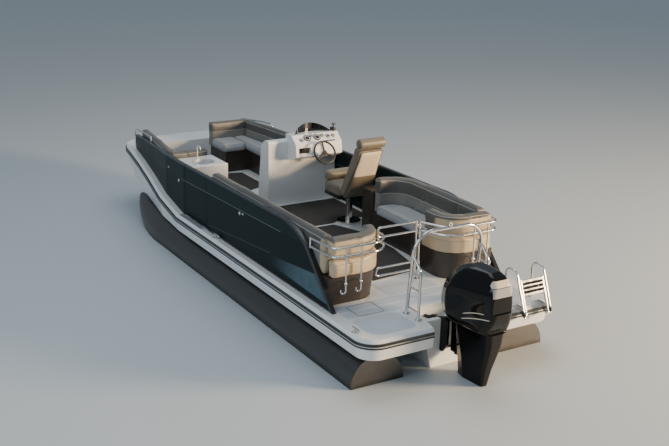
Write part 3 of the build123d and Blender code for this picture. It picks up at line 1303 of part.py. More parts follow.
def boarding_ladder():
    """Folding ladder, stowed leaning over the stern: two rails with flat steps near their tops."""
    shape = None
    for x in LADDER_X:
        rail = cylinder_z(0, LADDER_LENGTH, x, 0, LADDER_TUBE)
        eye = cylinder_x(x - LADDER_TUBE, x + LADDER_TUBE, 0, 0, LADDER_TUBE + 3)
        bore = cylinder_x(x - 40, x + 40, 0, 0, LADDER_PIN_RADIUS + PIN_CLEARANCE)
        cap = Pos(x, 0, LADDER_LENGTH) * Sphere(LADDER_TUBE)
        piece = rail + eye + cap - bore
        shape = piece if shape is None else shape + piece
    for index in range(LADDER_STEPS):
        top = LADDER_LENGTH - 10 - index * STEP_PITCH
        shape = shape + box(LADDER_X[0], LADDER_X[1], -14, 20, top - STEP_HEIGHT, top)
    return Pos(0, LADDER_PIVOT_Y, LADDER_PIVOT_Z) * Rot(-LADDER_LEAN, 0, 0) * shape


def motor_section(row, corner):
    """A six-sided plan outline with rounded corners, widest ahead of its middle."""
    z, front, wide, rear, half_front, half_wide, half_rear = row
    face = make_face(Polyline((half_front, front), (half_wide, wide), (half_rear, rear), (-half_rear, rear),
                              (-half_wide, wide), (-half_front, front), close=True))
    return Pos(0, 0, z) * fillet(face.vertices(), half_rear * corner)


def motor_cowl():
    """The motor's cowl: a rounded shell over the powerhead, with a recessed window panel at the rear."""
    shell = loft([motor_section(row, COWL_CORNER) for row in COWL_SECTIONS])
    half, front, rear, top = POWERHEAD
    gap = POWERHEAD_GAP
    z0 = COWL_SECTIONS[0][0]
    shell = shell - box(-half - gap, half + gap, rear - gap, front + gap, z0 - 5, top + gap)
    wide, low, high, deep = WINDOW
    rear_y = min(row[3] for row in COWL_SECTIONS)
    window = box(-wide, wide, rear_y - 50, rear_y + deep, low, high)
    return shell - fillet(window.edges().filter_by(Axis.Y), 18)


def powerhead():
    """The engine as one block that stands on the leg inside the cowl."""
    half, front, rear, top = POWERHEAD
    block = box(-half, half, rear, front, COWL_SECTIONS[0][0], top)
    return fillet(block.edges().filter_by(Axis.Z), 20)


def motor_leg():
    """The leg under the cowl: midsection, plate, gearcase, skeg, and the yokes with the steering pin."""
    sections = [(COWL_SECTIONS[0][0], *LEG_SECTIONS[0][1:])] + LEG_SECTIONS[1:]
    shape = loft([motor_section(row, LEG_CORNER) for row in sections], ruled=True)
    neck_z, front, _, rear, _, half, _ = LEG_SECTIONS[-1]
    plate = make_face(Polyline((60, front + 20), (130, rear - 40), (100, rear - 230), (-100, rear - 230),
                               (-130, rear - 40), (-60, front + 20), close=True))
    plate = fillet(plate.vertices(), 30)
    shape = shape + Pos(0, 0, PLATE_Z) * extrude(plate, amount=neck_z - PLATE_Z + 2)
    strut = ruled([[(half - 10, front - 10, PLATE_Z), (10, front + 10, PLATE_Z), (-10, front + 10, PLATE_Z),
                    (-half + 10, front - 10, PLATE_Z), (-8, rear, PLATE_Z), (8, rear, PLATE_Z)],
                   [(30, front - 10, PROP_Z), (8, front + 25, PROP_Z), (-8, front + 25, PROP_Z),
                    (-30, front - 10, PROP_Z), (-8, rear + 10, PROP_Z), (8, rear + 10, PROP_Z)]])
    shape = shape + strut
    aft_y = PROP_Y + PROP_HUB_LENGTH / 2 + 2
    case = cylinder_y(aft_y, GEARCASE_NOSE_Y, 0, PROP_Z, GEARCASE_RADIUS)
    nose_plane = Plane(origin=(0, GEARCASE_NOSE_Y, PROP_Z), z_dir=(0, 1, 0))
    nose = loft([nose_plane * Circle(GEARCASE_RADIUS), nose_plane.offset(90) * Circle(GEARCASE_RADIUS * 0.75),
                 nose_plane.offset(140) * Circle(GEARCASE_RADIUS * 0.25)])
    shape = shape + case + nose
    skeg = profile([(PROP_Y + 275, PROP_Z - 30), (PROP_Y + 175, SKEG_BOTTOM), (PROP_Y + 75, SKEG_BOTTOM),
                    (PROP_Y + 70, PROP_Z - 30)], -6, 6)
    shape = shape + skeg
    shaft = cylinder_y(PROP_Y - PROP_HUB_LENGTH / 2 - 25, aft_y + 20, 0, PROP_Z, PROP_SHAFT_RADIUS)
    shape = shape + shaft
    for low in (SWIVEL_TOP + YOKE_GAP, SWIVEL_BOTTOM - YOKE_GAP - YOKE_THICK):
        arm = box(-32, 32, LEG_FRONT_Y - 60, STEER_Y, low, low + YOKE_THICK)
        disc = cylinder_z(low, low + YOKE_THICK, 0, STEER_Y, 38)
        shape = shape + arm + disc
    return shape + cylinder_z(SWIVEL_BOTTOM - 10, SWIVEL_TOP + 10, 0, STEER_Y, STEER_PIN_RADIUS)


def motor_swivel():
    """The swivel bracket: tilt eye in front, steering tube behind, and the web between them."""
    web_y = STEER_Y + 55
    web = profile([(STEER_Y, SWIVEL_TOP), (TILT_Y - 8, SWIVEL_TOP), (TILT_Y + 25, TILT_Z),
                   (TILT_Y + 10, -50), (web_y, -130), (web_y, SWIVEL_BOTTOM), (STEER_Y, SWIVEL_BOTTOM)],
                  -55, 55)
    eye = cylinder_x(-SWIVEL_HALF, SWIVEL_HALF, TILT_Y, TILT_Z, TILT_EYE_RADIUS)
    tube = cylinder_z(SWIVEL_BOTTOM, SWIVEL_TOP, 0, STEER_Y, STEER_TUBE_RADIUS)
    shape = web + eye + tube
    tilt_bore = cylinder_x(-120, 120, TILT_Y, TILT_Z, TILT_PIN_RADIUS + PIN_CLEARANCE)
    steer_bore = cylinder_z(SWIVEL_BOTTOM - 5, SWIVEL_TOP + 5, 0, STEER_Y, STEER_PIN_RADIUS + PIN_CLEARANCE)
    return shape - tilt_bore - steer_bore


def motor_clamp():
    """The clamp bracket: two plates hooked over the transom, the tilt pin and the tie bar."""
    top = -PLATE
    front = POD_AFT_Y + TRANSOM_THICK
    outline = [(POD_AFT_Y, top - CLAMP_DEPTH + 50), (POD_AFT_Y - 50, top - CLAMP_DEPTH + 50),
               (CLAMP_AFT_Y, top - CLAMP_DEPTH + 150), (CLAMP_AFT_Y, TILT_Z - 10), (TILT_Y - 20, 4),
               (TILT_Y + 32, 4), (front, top + 8), (front + 28, top),
               (front + 28, top - 110), (front, top - 110), (front, top), (POD_AFT_Y, top)]
    shape = cylinder_x(-CLAMP_INNER - 40, CLAMP_INNER + 40, TILT_Y, TILT_Z, TILT_PIN_RADIUS)
    for side in (-1, 1):
        x0, x1 = sorted([side * CLAMP_INNER, side * (CLAMP_INNER + CLAMP_THICK)])
        shape = shape + profile(outline, x0, x1)
    tie = cylinder_x(-CLAMP_INNER - 5, CLAMP_INNER + 5, POD_AFT_Y - 28, top - CLAMP_DEPTH + 80, 12)
    bridge = box(-CLAMP_INNER - 5, CLAMP_INNER + 5, front + 10, front + 28, top - 100, top - 40)
    return shape + tie + bridge


def arc_radii(points):
    """Bend radii for a hose: as large as each corner's two runs allow."""
    vectors = [Vector(*b) - Vector(*a) for a, b in zip(points, points[1:])]
    radii = []
    for first, second in zip(vectors, vectors[1:]):
        turn = radians(first.get_angle(second))
        radii.append(0.45 * min(first.length, second.length) / (sin(turn / 2) / cos(turn / 2)))
    return radii


def rigging_hoses():
    """Two rigging hoses from the splash well's front wall to the clamp bracket's bridge."""
    end_y = POD_AFT_Y + TRANSOM_THICK + 28
    well = WELL_BOW_Y
    big = [(-150, well, -105), (-150, well - 58, -105), (-105, well - 108, -70), (-42, well - 120, -112),
           (-42, end_y, -112)]
    small = [(120, well, -100), (120, well - 55, -100), (88, well - 105, -66), (42, well - 120, -108),
             (42, end_y, -108)]
    return group(pipe(big, arc_radii(big), HOSE_RADIUS),
                 pipe(small, arc_radii(small), SMALL_HOSE_RADIUS))


def propeller():
    """Propeller: hub and three twisted blades."""
    hub = cylinder_y(PROP_Y - PROP_HUB_LENGTH / 2, PROP_Y + PROP_HUB_LENGTH / 2, 0, PROP_Z, PROP_HUB_RADIUS)
    shape = fillet(hub.edges().sort_by(Axis.Y)[0], 15)
    reach = PROP_RADIUS - 8
    mid = (PROP_HUB_RADIUS - 12 + reach) / 2
    outline = Ellipse(72, (reach - PROP_HUB_RADIUS + 12) / 2)
    blade = extrude(outline, amount=BLADE_THICK / 2, both=True)
    for index in range(PROP_BLADES):
        twisted = Pos(0, 0, mid) * Rot(0, 0, PROP_PITCH_ANGLE) * Rot(90, 0, 0) * blade
        shape = shape + Pos(0, PROP_Y, PROP_Z) * Rot(0, 360 * index / PROP_BLADES, 0) * twisted
    bore = cylinder_y(PROP_Y - 200, PROP_Y + 200, 0, PROP_Z, PROP_SHAFT_RADIUS + PIN_CLEARANCE)
    return shape - bore


def main():
    """Build every piece and write it, raised so that z = 0 is the waterline."""
    body = hull_body()
    nodes = {
        "pontoons": pontoons(),
        "pontoon_risers": pontoon_risers(),
        "crossmembers": crossmembers(),
        "deck": deck(body),
        "rub_rail": rub_rail(body),
        "motor_pod": motor_pod(),
        "floor_mats": floor_mats(),
        "side_panel_port_aft": side_panel_port_aft(),
        "side_panel_port_fwd": side_panel_port_fwd(),
        "side_panel_starboard": side_panel_starboard(),
        "panel_caps": panel_caps(),
        "aft_pillars": group(aft_pillar(-1), aft_pillar(1)),
        "panel_fittings": panel_fittings(),
        "port_gate": port_gate(),
        "port_gate_cap": port_gate_cap(),
        "cleats": cleats(),
        "port_lounge_base": port_lounge_base(),
        "port_lounge_shell": aft_shell(-1, BENCH_INBOARD, 1560),
        "port_lounge_backs": port_lounge_backs(),
        "port_lounge_pads": port_lounge_pads(),
        "starboard_lounge_base": starboard_lounge_base(),
        "starboard_lounge_shell": aft_shell(1, STBD_INBOARD, 1500),
        "starboard_lounge_backs": starboard_lounge_backs(),
        "starboard_lounge_pads": starboard_lounge_pads(),
        "storage_cabinet": storage_cabinet(),
        "bow_port_base": bow_port_base(),
        "bow_port_backs": bow_port_backs(),
        "bow_port_pads": bow_port_pads(),
        "bow_starboard_base": bow_starboard_base(),
        "bow_starboard_backs": bow_starboard_backs(),
        "bow_starboard_pads": bow_starboard_pads(),
        "sink_cabinet": sink_cabinet(),
        "sink_bowl": sink_bowl(),
        "helm_console": helm_console(),
        "dash_gauges": dash_gauges(),
        "throttle": throttle(),
        "windshield": windshield(),
        "steering_wheel": steering_wheel(),
        "seat_pedestal": seat_pedestal(),
        "helm_seat_shell": helm_seat_shell(),
        "helm_back_panel": helm_back_panel(),
        "helm_seat_cushions": helm_seat_cushions(),
        "aft_rail_port": aft_rail_port(),
        "aft_rail_starboard": aft_rail_starboard(),
        "aft_gate": aft_gate(),
        "tow_arch": tow_arch(),
        "bow_rails": bow_rails(),
        "ladder_mount": ladder_mount(),
        "boarding_ladder": boarding_ladder(),
        "motor_clamp": motor_clamp(),
        "motor_swivel": motor_swivel(),
        "motor_leg": motor_leg(),
        "motor_cowl": motor_cowl(),
        "powerhead": powerhead(),
        "rigging_hoses": rigging_hoses(),
        "propeller": propeller(),
    }
    os.makedirs("parts", exist_ok=True)
    for name, shape in nodes.items():
        export_step(Pos(0, 0, DECK_ABOVE_WATER) * shape, f"parts/{name}.step")


main()
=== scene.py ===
"""Finishes, upholstery and small fittings of a three-tube pontoon boat with an outboard motor."""

import logging
import math
from dataclasses import dataclass
from enum import Enum
from typing import Iterable, Optional, Sequence

import bmesh
import bpy
from mathutils import Matrix, Vector


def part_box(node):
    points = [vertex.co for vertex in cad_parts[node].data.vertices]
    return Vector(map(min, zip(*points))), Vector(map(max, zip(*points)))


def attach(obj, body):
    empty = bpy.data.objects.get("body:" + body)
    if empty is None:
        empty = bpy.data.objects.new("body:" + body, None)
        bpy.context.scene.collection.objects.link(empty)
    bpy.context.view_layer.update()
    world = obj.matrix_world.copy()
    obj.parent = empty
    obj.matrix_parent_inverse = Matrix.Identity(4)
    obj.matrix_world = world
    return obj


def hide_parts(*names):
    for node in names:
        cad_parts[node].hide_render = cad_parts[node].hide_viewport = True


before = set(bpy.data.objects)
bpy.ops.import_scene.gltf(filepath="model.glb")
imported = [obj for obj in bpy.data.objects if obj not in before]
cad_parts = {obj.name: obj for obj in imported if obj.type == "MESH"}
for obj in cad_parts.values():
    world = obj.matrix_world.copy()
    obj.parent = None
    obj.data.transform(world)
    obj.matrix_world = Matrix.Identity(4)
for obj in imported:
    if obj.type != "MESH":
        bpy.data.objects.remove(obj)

LOG = logging.getLogger("pontoon_boat")
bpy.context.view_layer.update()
# height of the deck above the water
DECK = 0.61

Color = tuple[float, float, float]
Point = tuple[float, float, float]
Outline = list[tuple[float, float]]
Socket = bpy.types.NodeSocket
PAINTED: dict[str, bpy.types.Material] = {}


class Axis(Enum):
    """Which of the boat's axes a seam or a split is counted along."""

    X = 0
    Y = 1
    Z = 2


class Wiring:
    """A tree of nodes that is built up one node at a time."""

    tree: bpy.types.NodeTree

    def node(self, kind: str, settings: Optional[dict] = None, **inputs: object) -> bpy.types.Node:
        """Adds a node.

        Args:
            kind: The node's type.
            settings: Properties of the node by name.
            inputs: Sockets by name, with underscores for spaces, or "iN" for index N. Each is given a
                socket or a value.

        Returns:
            The node.
        """
        made = self.tree.nodes.new(kind)
        for key, value in (settings or {}).items():
            setattr(made, key, value)
        for key, value in inputs.items():
            numbered = key[0] == "i" and key[1:].isdigit()
            socket = made.inputs[int(key[1:]) if numbered else key.replace("_", " ")]
            if isinstance(value, bpy.types.NodeSocket):
                self.tree.links.new(value, socket)
            else:
                socket.default_value = value
        return made


class Surface(Wiring):
    """A node material."""

    def __init__(self, name: str, **sockets: object) -> None:
        """Starts a material with its shader and constant sockets.

        Args:
            name: The material's name.
            sockets: Shader sockets by name, with underscores for spaces.
        """
        self.material = bpy.data.materials.new(name)
        self.material.use_nodes = True
        self.tree = self.material.node_tree
        self.tree.nodes.clear()
        self.shader = self.tree.nodes.new("ShaderNodeBsdfPrincipled")
        output = self.tree.nodes.new("ShaderNodeOutputMaterial")
        self.tree.links.new(self.shader.outputs[0], output.inputs["Surface"])
        for key, value in sockets.items():
            self.shader.inputs[key.replace("_", " ")].default_value = value
        self._coords: Optional[Socket] = None

    def coords(self) -> Socket:
        """The place on the piece in metres."""
        if self._coords is None:
            self._coords = self.node("ShaderNodeTexCoord").outputs["Object"]
        return self._coords

    def axes(self) -> tuple[Socket, Socket, Socket]:
        """The place's three numbers."""
        split = self.node("ShaderNodeSeparateXYZ", None, i0=self.coords())
        return split.outputs[0], split.outputs[1], split.outputs[2]

    def calc(self, operation: str, first: object, second: object = 0.0, third: object = 0.0) -> Socket:
        """One step of arithmetic.

        Args:
            operation: The Math node's operation.
            first: A socket or a number.
            second: A socket or a number.
            third: A socket or a number.

        Returns:
            The result's socket.
        """
        made = self.node("ShaderNodeMath", {"operation": operation}, i0=first, i1=second, i2=third)
        return made.outputs[0]

    def edge(self, value: Socket, place: float, soft: float, before: float) -> Socket:
        """One share before a place and the other share behind it, 0 and 1 or 1 and 0.

        Args:
            value: What is compared with the place.
            place: Where the share changes.
            soft: Half the width of the change.
            before: The share before it.

        Returns:
            The share's socket.
        """
        return self.node("ShaderNodeMapRange", {"clamp": True}, i0=value, i1=place - soft, i2=place + soft,
                         i3=before, i4=1.0 - before).outputs[0]

    def above(self, value: Socket, low: float, soft: float = 0.001) -> Socket:
        """1 where value is over low, and 0 elsewhere."""
        return self.edge(value, low, soft, 0.0)

    def below(self, value: Socket, high: float, soft: float = 0.001) -> Socket:
        """1 where value is under high, and 0 elsewhere."""
        return self.edge(value, high, soft, 1.0)

    def band(self, value: Socket, low: float, high: float, soft: float = 0.001) -> Socket:
        """1 where value lies between low and high, with soft ends, and 0 elsewhere."""
        return self.calc("MULTIPLY", self.above(value, low, soft), self.below(value, high, soft))

    def line(self, along: Socket, slope: float, start: float) -> Socket:
        """The height of a sloping line over the deck's end, at each place along the boat."""
        return self.calc("MULTIPLY_ADD", along, slope, DECK + start)

    def noise(self, scale: float, detail: float = 3.0, stretch: Point = (1.0, 1.0, 1.0)) -> Socket:
        """A soft random pattern.

        Args:
            scale: How fine it is.
            detail: How many finer layers it has.
            stretch: Its scale along each axis.

        Returns:
            The pattern's value.
        """
        place = self.coords()
        if stretch != (1.0, 1.0, 1.0):
            place = self.node("ShaderNodeMapping", None, i0=place, i3=stretch).outputs[0]
        made = self.node("ShaderNodeTexNoise", None, Vector=place, Scale=scale, Detail=detail)
        return made.outputs["Fac"] if "Fac" in made.outputs else made.outputs[0]

    def cells(self, scale: float, feature: str = "F1", stretch: Point = (1.0, 1.0, 1.0)) -> Socket:
        """Distances in a pattern of random cells."""
        place = self.node("ShaderNodeMapping", None, i0=self.coords(), i3=stretch).outputs[0]
        made = self.node("ShaderNodeTexVoronoi", {"feature": feature}, Vector=place, Scale=scale)
        return made.outputs["Distance"]

    def wave(self, scale: float, direction: str = "X", distortion: float = 0.0) -> Socket:
        """Straight ridges across one axis."""
        return self.node("ShaderNodeTexWave", {"bands_direction": direction}, Vector=self.coords(),
                         Scale=scale, Distortion=distortion).outputs["Fac"]

    def mix(self, share: Socket, first: object, second: object) -> Socket:
        """A blend of two colours, each a socket or three numbers."""
        made = self.node("ShaderNodeMix", {"data_type": "RGBA"}, i0=share)
        for index, value in ((6, first), (7, second)):
            if isinstance(value, bpy.types.NodeSocket):
                self.tree.links.new(value, made.inputs[index])
            else:
                made.inputs[index].default_value = (*value, 1.0)
        return made.outputs[2]

    def tint(self, color: Color, share: Socket, depth: float) -> Socket:
        """A colour made a little lighter and darker by a pattern."""
        low = tuple(c * (1 - depth) for c in color)
        high = tuple(min(1.0, c * (1 + depth)) for c in color)
        return self.mix(share, low, high)

    def color(self, value: Socket) -> "Surface":
        """Links the base colour."""
        self.tree.links.new(value, self.shader.inputs["Base Color"])
        return self

    def rough(self, value: Socket, low: float, high: float) -> "Surface":
        """Links the roughness, as a pattern's value spread from low to high."""
        spread = self.node("ShaderNodeMapRange", None, i0=value, i3=low, i4=high)
        self.tree.links.new(spread.outputs[0], self.shader.inputs["Roughness"])
        return self

    def bump(self, height: Socket, strength: float, distance: float) -> "Surface":
        """Adds relief to the surface, on top of what it has."""
        made = self.node("ShaderNodeBump", None, Strength=strength, Distance=distance, Height=height)
        normal = self.shader.inputs["Normal"]
        if normal.links:
            self.tree.links.new(normal.links[0].from_socket, made.inputs["Normal"])
        self.tree.links.new(made.outputs[0], normal)
        return self


@dataclass(frozen=True)
class Finish:
    """What one kind of surface looks like."""

    name: str

    def paint(self) -> bpy.types.Material:
        """Makes the material."""
        raise NotImplementedError

    def material(self) -> bpy.types.Material:
        """The finish's material, made on first use."""
        if self.name not in PAINTED:
            PAINTED[self.name] = self.paint()
        return PAINTED[self.name]


@dataclass(frozen=True)
class Gelcoat(Finish):
    """Glossy moulded gelcoat, a little uneven, with a matt grain on walked surfaces."""

    color: Color = (0.80, 0.80, 0.78)
    roughness: float = 0.22
    walked: bool = False

    def paint(self) -> bpy.types.Material:
        """Makes the material."""
        made = Surface(self.name, Roughness=self.roughness, Coat_Weight=0.5, Coat_Roughness=0.08)
        drift = made.noise(1.3, 2.0)
        made.color(made.tint(self.color, drift, 0.025))
        made.rough(made.noise(24.0, 2.0), self.roughness - 0.04, self.roughness + 0.1)
        made.bump(made.noise(60.0, 1.0), 0.05, 0.002)
        if self.walked:
            up = made.node("ShaderNodeSeparateXYZ", None,
                           i0=made.node("ShaderNodeNewGeometry").outputs["Normal"]).outputs[2]
            grain = made.calc("MULTIPLY", made.cells(260.0), made.above(up, 0.95, 0.02))
            made.bump(grain, 0.35, 0.0015)
        return made.material


@dataclass(frozen=True)
class NonSkid(Finish):
    """Moulded non-skid: a diamond grid in matt gelcoat."""

    color: Color = (0.52, 0.57, 0.62)

    def paint(self) -> bpy.types.Material:
        """Makes the material."""
        made = Surface(self.name, Roughness=0.55, Coat_Weight=0.1, Coat_Roughness=0.3)
        made.color(made.tint(self.color, made.noise(3.0), 0.05))
        turned = made.node("ShaderNodeMapping", None, i0=made.coords(), i2=(0.0, 0.0, math.pi / 4))
        across = [made.node("ShaderNodeTexWave", {"bands_direction": axis}, Vector=turned.outputs[0],
                            Scale=42.0).outputs["Fac"] for axis in ("X", "Y")]
        made.bump(made.calc("MULTIPLY", across[0], across[1]), 0.6, 0.0015)
        return made.material


@dataclass(frozen=True)
class Aluminium(Finish):
    """Bare rolled tube metal, dulled along the waterline."""

    # the default colour is much darker than bare aluminium: painted shade and a painted reflection of dark
    # water on the tubes
    color: Color = (0.135, 0.130, 0.125)
    wet: Color = (0.075, 0.070, 0.062)
    wet_top: float = 0.06

    def paint(self) -> bpy.types.Material:
        """Makes the material."""
        made = Surface(self.name, Metallic=1.0, Roughness=0.35)
        _, _, height = made.axes()
        streaks = made.noise(9.0, 4.0, (1.0, 0.12, 3.0))
        ragged = made.calc("ADD", height, made.calc("MULTIPLY", streaks, 0.05))
        wet = made.below(ragged, self.wet_top, 0.03)
        made.color(made.mix(wet, made.tint(self.color, streaks, 0.12), self.wet))
        made.rough(streaks, 0.25, 0.5)
        made.bump(made.noise(180.0, 2.0, (1.0, 0.05, 1.0)), 0.08, 0.001)
        return made.material


@dataclass(frozen=True)
class Stainless(Finish):
    """Polished stainless tube with faint wipe marks."""

    color: Color = (0.72, 0.71, 0.69)

    def paint(self) -> bpy.types.Material:
        """Makes the material."""
        made = Surface(self.name, Metallic=1.0, Roughness=0.1)
        marks = made.noise(38.0, 4.0, (1.0, 1.0, 0.25))
        made.color(made.tint(self.color, marks, 0.06))
        made.rough(marks, 0.05, 0.2)
        made.bump(made.noise(300.0, 1.0), 0.02, 0.0005)
        return made.material


@dataclass(frozen=True)
class Vinyl(Finish):
    """Marine vinyl with a pebbled grain, in one colour or with a second one above a seam."""

    color: Color = (0.16, 0.14, 0.12)
    second: Optional[Color] = None
    split: float = 0.0
    axis: Axis = Axis.Z
    grain: float = 420.0
    # the colour of faces that look aft, under a height and aft of a place, and of side faces at the very
    # end: partly a tan vinyl, partly painted sunlight from a low sun aft
    rear: Optional[Color] = None
    rear_top: float = 0.0
    rear_end: float = 0.0
    rear_wrap: float = 0.0

    def paint(self) -> bpy.types.Material:
        """Makes the material."""
        made = Surface(self.name, Roughness=0.45, Sheen_Weight=0.12, Sheen_Roughness=0.4, Coat_Weight=0.08,
                       Coat_Roughness=0.35)
        drift = made.noise(5.0, 4.0)
        shade = made.tint(self.color, drift, 0.1)
        if self.second is not None:
            place = made.axes()[self.axis.value]
            upper = made.above(place, self.split, 0.0015)
            shade = made.mix(upper, shade, made.tint(self.second, drift, 0.08))
            made.bump(made.band(place, self.split - 0.004, self.split + 0.004, 0.003), -0.8, 0.003)
        # painted sunlight: faces that look aft, and the side faces at the very end, take the lighter, warmer
        # rear colour
        if self.rear is not None:
            facing = made.node("ShaderNodeSeparateXYZ", None,
                               i0=made.node("ShaderNodeNewGeometry").outputs["Normal"]).outputs[1]
            _, along, height = made.axes()
            aft, side = (made.calc("MULTIPLY", made.below(facing, turn, 0.06), made.below(along, end, 0.01))
                         for turn, end in ((-0.25, self.rear_end), (0.3, self.rear_wrap)))
            sunlit_faces = made.calc("MAXIMUM", aft, side)
            rear = made.calc("MULTIPLY", sunlit_faces, made.below(height, self.rear_top, 0.002))
            shade = made.mix(rear, shade, made.tint(self.rear, drift, 0.08))
        made.color(shade)
        made.rough(made.noise(30.0, 3.0), 0.36, 0.56)
        made.bump(made.noise(14.0, 2.0), 0.12, 0.006)
        made.bump(made.cells(self.grain, "SMOOTH_F1"), 0.22, 0.0012)
        return made.material


@dataclass(frozen=True)
class Moulded(Finish):
    """Moulded plastic with a fine leathery grain and rubbed high spots."""

    color: Color = (0.035, 0.026, 0.020)
    roughness: float = 0.38
    grain: float = 350.0

    def paint(self) -> bpy.types.Material:
        """Makes the material."""
        made = Surface(self.name, Roughness=self.roughness, Coat_Weight=0.15, Coat_Roughness=0.25)
        rubbed = made.noise(7.0, 5.0)
        made.color(made.tint(self.color, rubbed, 0.22))
        made.rough(rubbed, self.roughness - 0.07, self.roughness + 0.12)
        made.bump(made.cells(self.grain, "SMOOTH_F1"), 0.15, 0.001)
        return made.material


@dataclass(frozen=True)
class WovenFloor(Finish):
    """Woven vinyl flooring: crossed threads in two browns."""

    warp: Color = (0.032, 0.028, 0.024)
    weft: Color = (0.060, 0.051, 0.042)

    def paint(self) -> bpy.types.Material:
        """Makes the material."""
        made = Surface(self.name, Roughness=0.7)
        over, under = made.wave(70.0, "X"), made.wave(70.0, "Y")
        woven = made.calc("GREATER_THAN", over, under)
        cloudy = made.noise(4.0, 4.0)
        threads = made.mix(woven, self.warp, self.weft)
        made.color(made.mix(cloudy, threads, tuple(c * 0.8 for c in self.warp)))
        made.bump(made.calc("MAXIMUM", over, under), 0.5, 0.0015)
        return made.material


@dataclass(frozen=True)
class PanelPaint(Finish):
    """Dark metallic side panel with a thin light line and a paler fade at its foot near the stern."""

    dark: Color = (0.0030, 0.0095, 0.0105)
    upper: Color = (0.0070, 0.0175, 0.0180)
    pale: Color = (0.10, 0.165, 0.195)
    line: Color = (0.15, 0.17, 0.165)
    flake: Color = (0.03, 0.06, 0.065)
    # slope towards the bow and height over the deck at the stern of both lines and of the fade's edges
    main: tuple[float, float] = (-0.034, 0.648)
    foot: tuple[float, float] = (-0.094, 0.455)
    fade_low: tuple[float, float] = (0.03, 0.035)
    fade_top: tuple[float, float] = (-0.108, 0.463)
    # first and last y of both lines and of the fade's soft end
    main_run: tuple[float, float] = (2.05, 4.94)
    foot_run: tuple[float, float] = (2.3, 4.05)
    fade_run: tuple[float, float] = (1.5, 2.35)

    def paint(self) -> bpy.types.Material:
        """Makes the material."""
        made = Surface(self.name, Roughness=0.34, Specular_IOR_Level=0.07, Coat_Weight=0.06,
                       Coat_Roughness=0.06)
        _, along, height = made.axes()
        over = made.calc("SUBTRACT", height, made.line(along, *self.main))
        shade = made.mix(made.above(over, 0.0, 0.002), self.dark, self.upper)
        shade = made.mix(made.calc("MULTIPLY", made.cells(900.0), 0.06), shade, self.flake)
        stripe = made.calc("MULTIPLY", made.band(over, -0.004, 0.003),
                           made.band(along, *self.main_run, 0.004))
        shade = made.mix(stripe, shade, self.line)
        # the fainter line climbs from the panel's foot towards the stern
        low = made.band(made.calc("SUBTRACT", height, made.line(along, *self.foot)), -0.003, 0.003)
        faint = made.calc("MULTIPLY", made.calc("MULTIPLY", low, 0.5),
                          made.band(along, *self.foot_run, 0.01))
        shade = made.mix(faint, shade, self.line)
        shade = made.mix(made.calc("MINIMUM", self.fade(made, along, height), 0.95), shade, self.pale)
        made.color(shade)
        made.bump(made.noise(2.2, 1.0), 0.03, 0.01)
        return made.material

    def fade(self, made: Surface, along: Socket, height: Socket) -> Socket:
        """The pale fade's share: a cloudy wedge between two sloping edges, soft towards the bow."""
        over = made.calc("SUBTRACT", height, made.line(along, *self.fade_low))
        under = made.calc("SUBTRACT", made.line(along, *self.fade_top), height)
        wedge = made.calc("MULTIPLY", made.above(over, 0.0, 0.003), made.above(under, 0.0, 0.003))
        start, end = self.fade_run
        soft = made.node("ShaderNodeMapRange", {"clamp": True, "interpolation_type": "SMOOTHSTEP"},
                         i0=along, i1=start, i2=end, i3=1.0, i4=0.0).outputs[0]
        cloud = made.calc("MULTIPLY_ADD", made.noise(6.0, 3.0), 0.5, 0.42)
        return made.calc("MULTIPLY", made.calc("MULTIPLY", wedge, soft), cloud)


@dataclass(frozen=True)
class RubRail(Finish):
    """Black rub rail with a light insert in its groove and a light lower edge."""

    black: Color = (0.012, 0.012, 0.012)
    light: Color = (0.70, 0.71, 0.70)
    # heights of the two black bands over the rail's middle
    upper: tuple[float, float] = (0.006, 0.037)
    lower: tuple[float, float] = (-0.024, -0.006)
    # y and height of the rail's middle, along the straight side and up the bow
    sheer: tuple[tuple[float, float], ...] = (
        (-1.0, -0.070), (4.870, -0.070), (5.550, 0.030), (6.150, 0.140), (6.730, 0.230), (7.240, 0.295),
        (7.800, 0.335))

    def paint(self) -> bpy.types.Material:
        """Makes the material."""
        made = Surface(self.name, Roughness=0.4, Coat_Weight=0.2)
        _, along, height = made.axes()
        level: object = DECK + self.sheer[0][1]
        for (y0, z0), (y1, z1) in zip(self.sheer[1:], self.sheer[2:]):
            rise = made.node("ShaderNodeMapRange", {"clamp": True}, i0=along, i1=y0, i2=y1, i3=0.0,
                             i4=z1 - z0)
            level = made.calc("ADD", level, rise.outputs[0])
        over = made.calc("SUBTRACT", height, level)
        black = made.calc("MAXIMUM", made.band(over, *self.upper, 0.0005),
                          made.band(over, *self.lower, 0.0005))
        made.color(made.mix(black, self.light, self.black))
        made.rough(made.noise(18.0, 3.0), 0.3, 0.5)
        return made.material


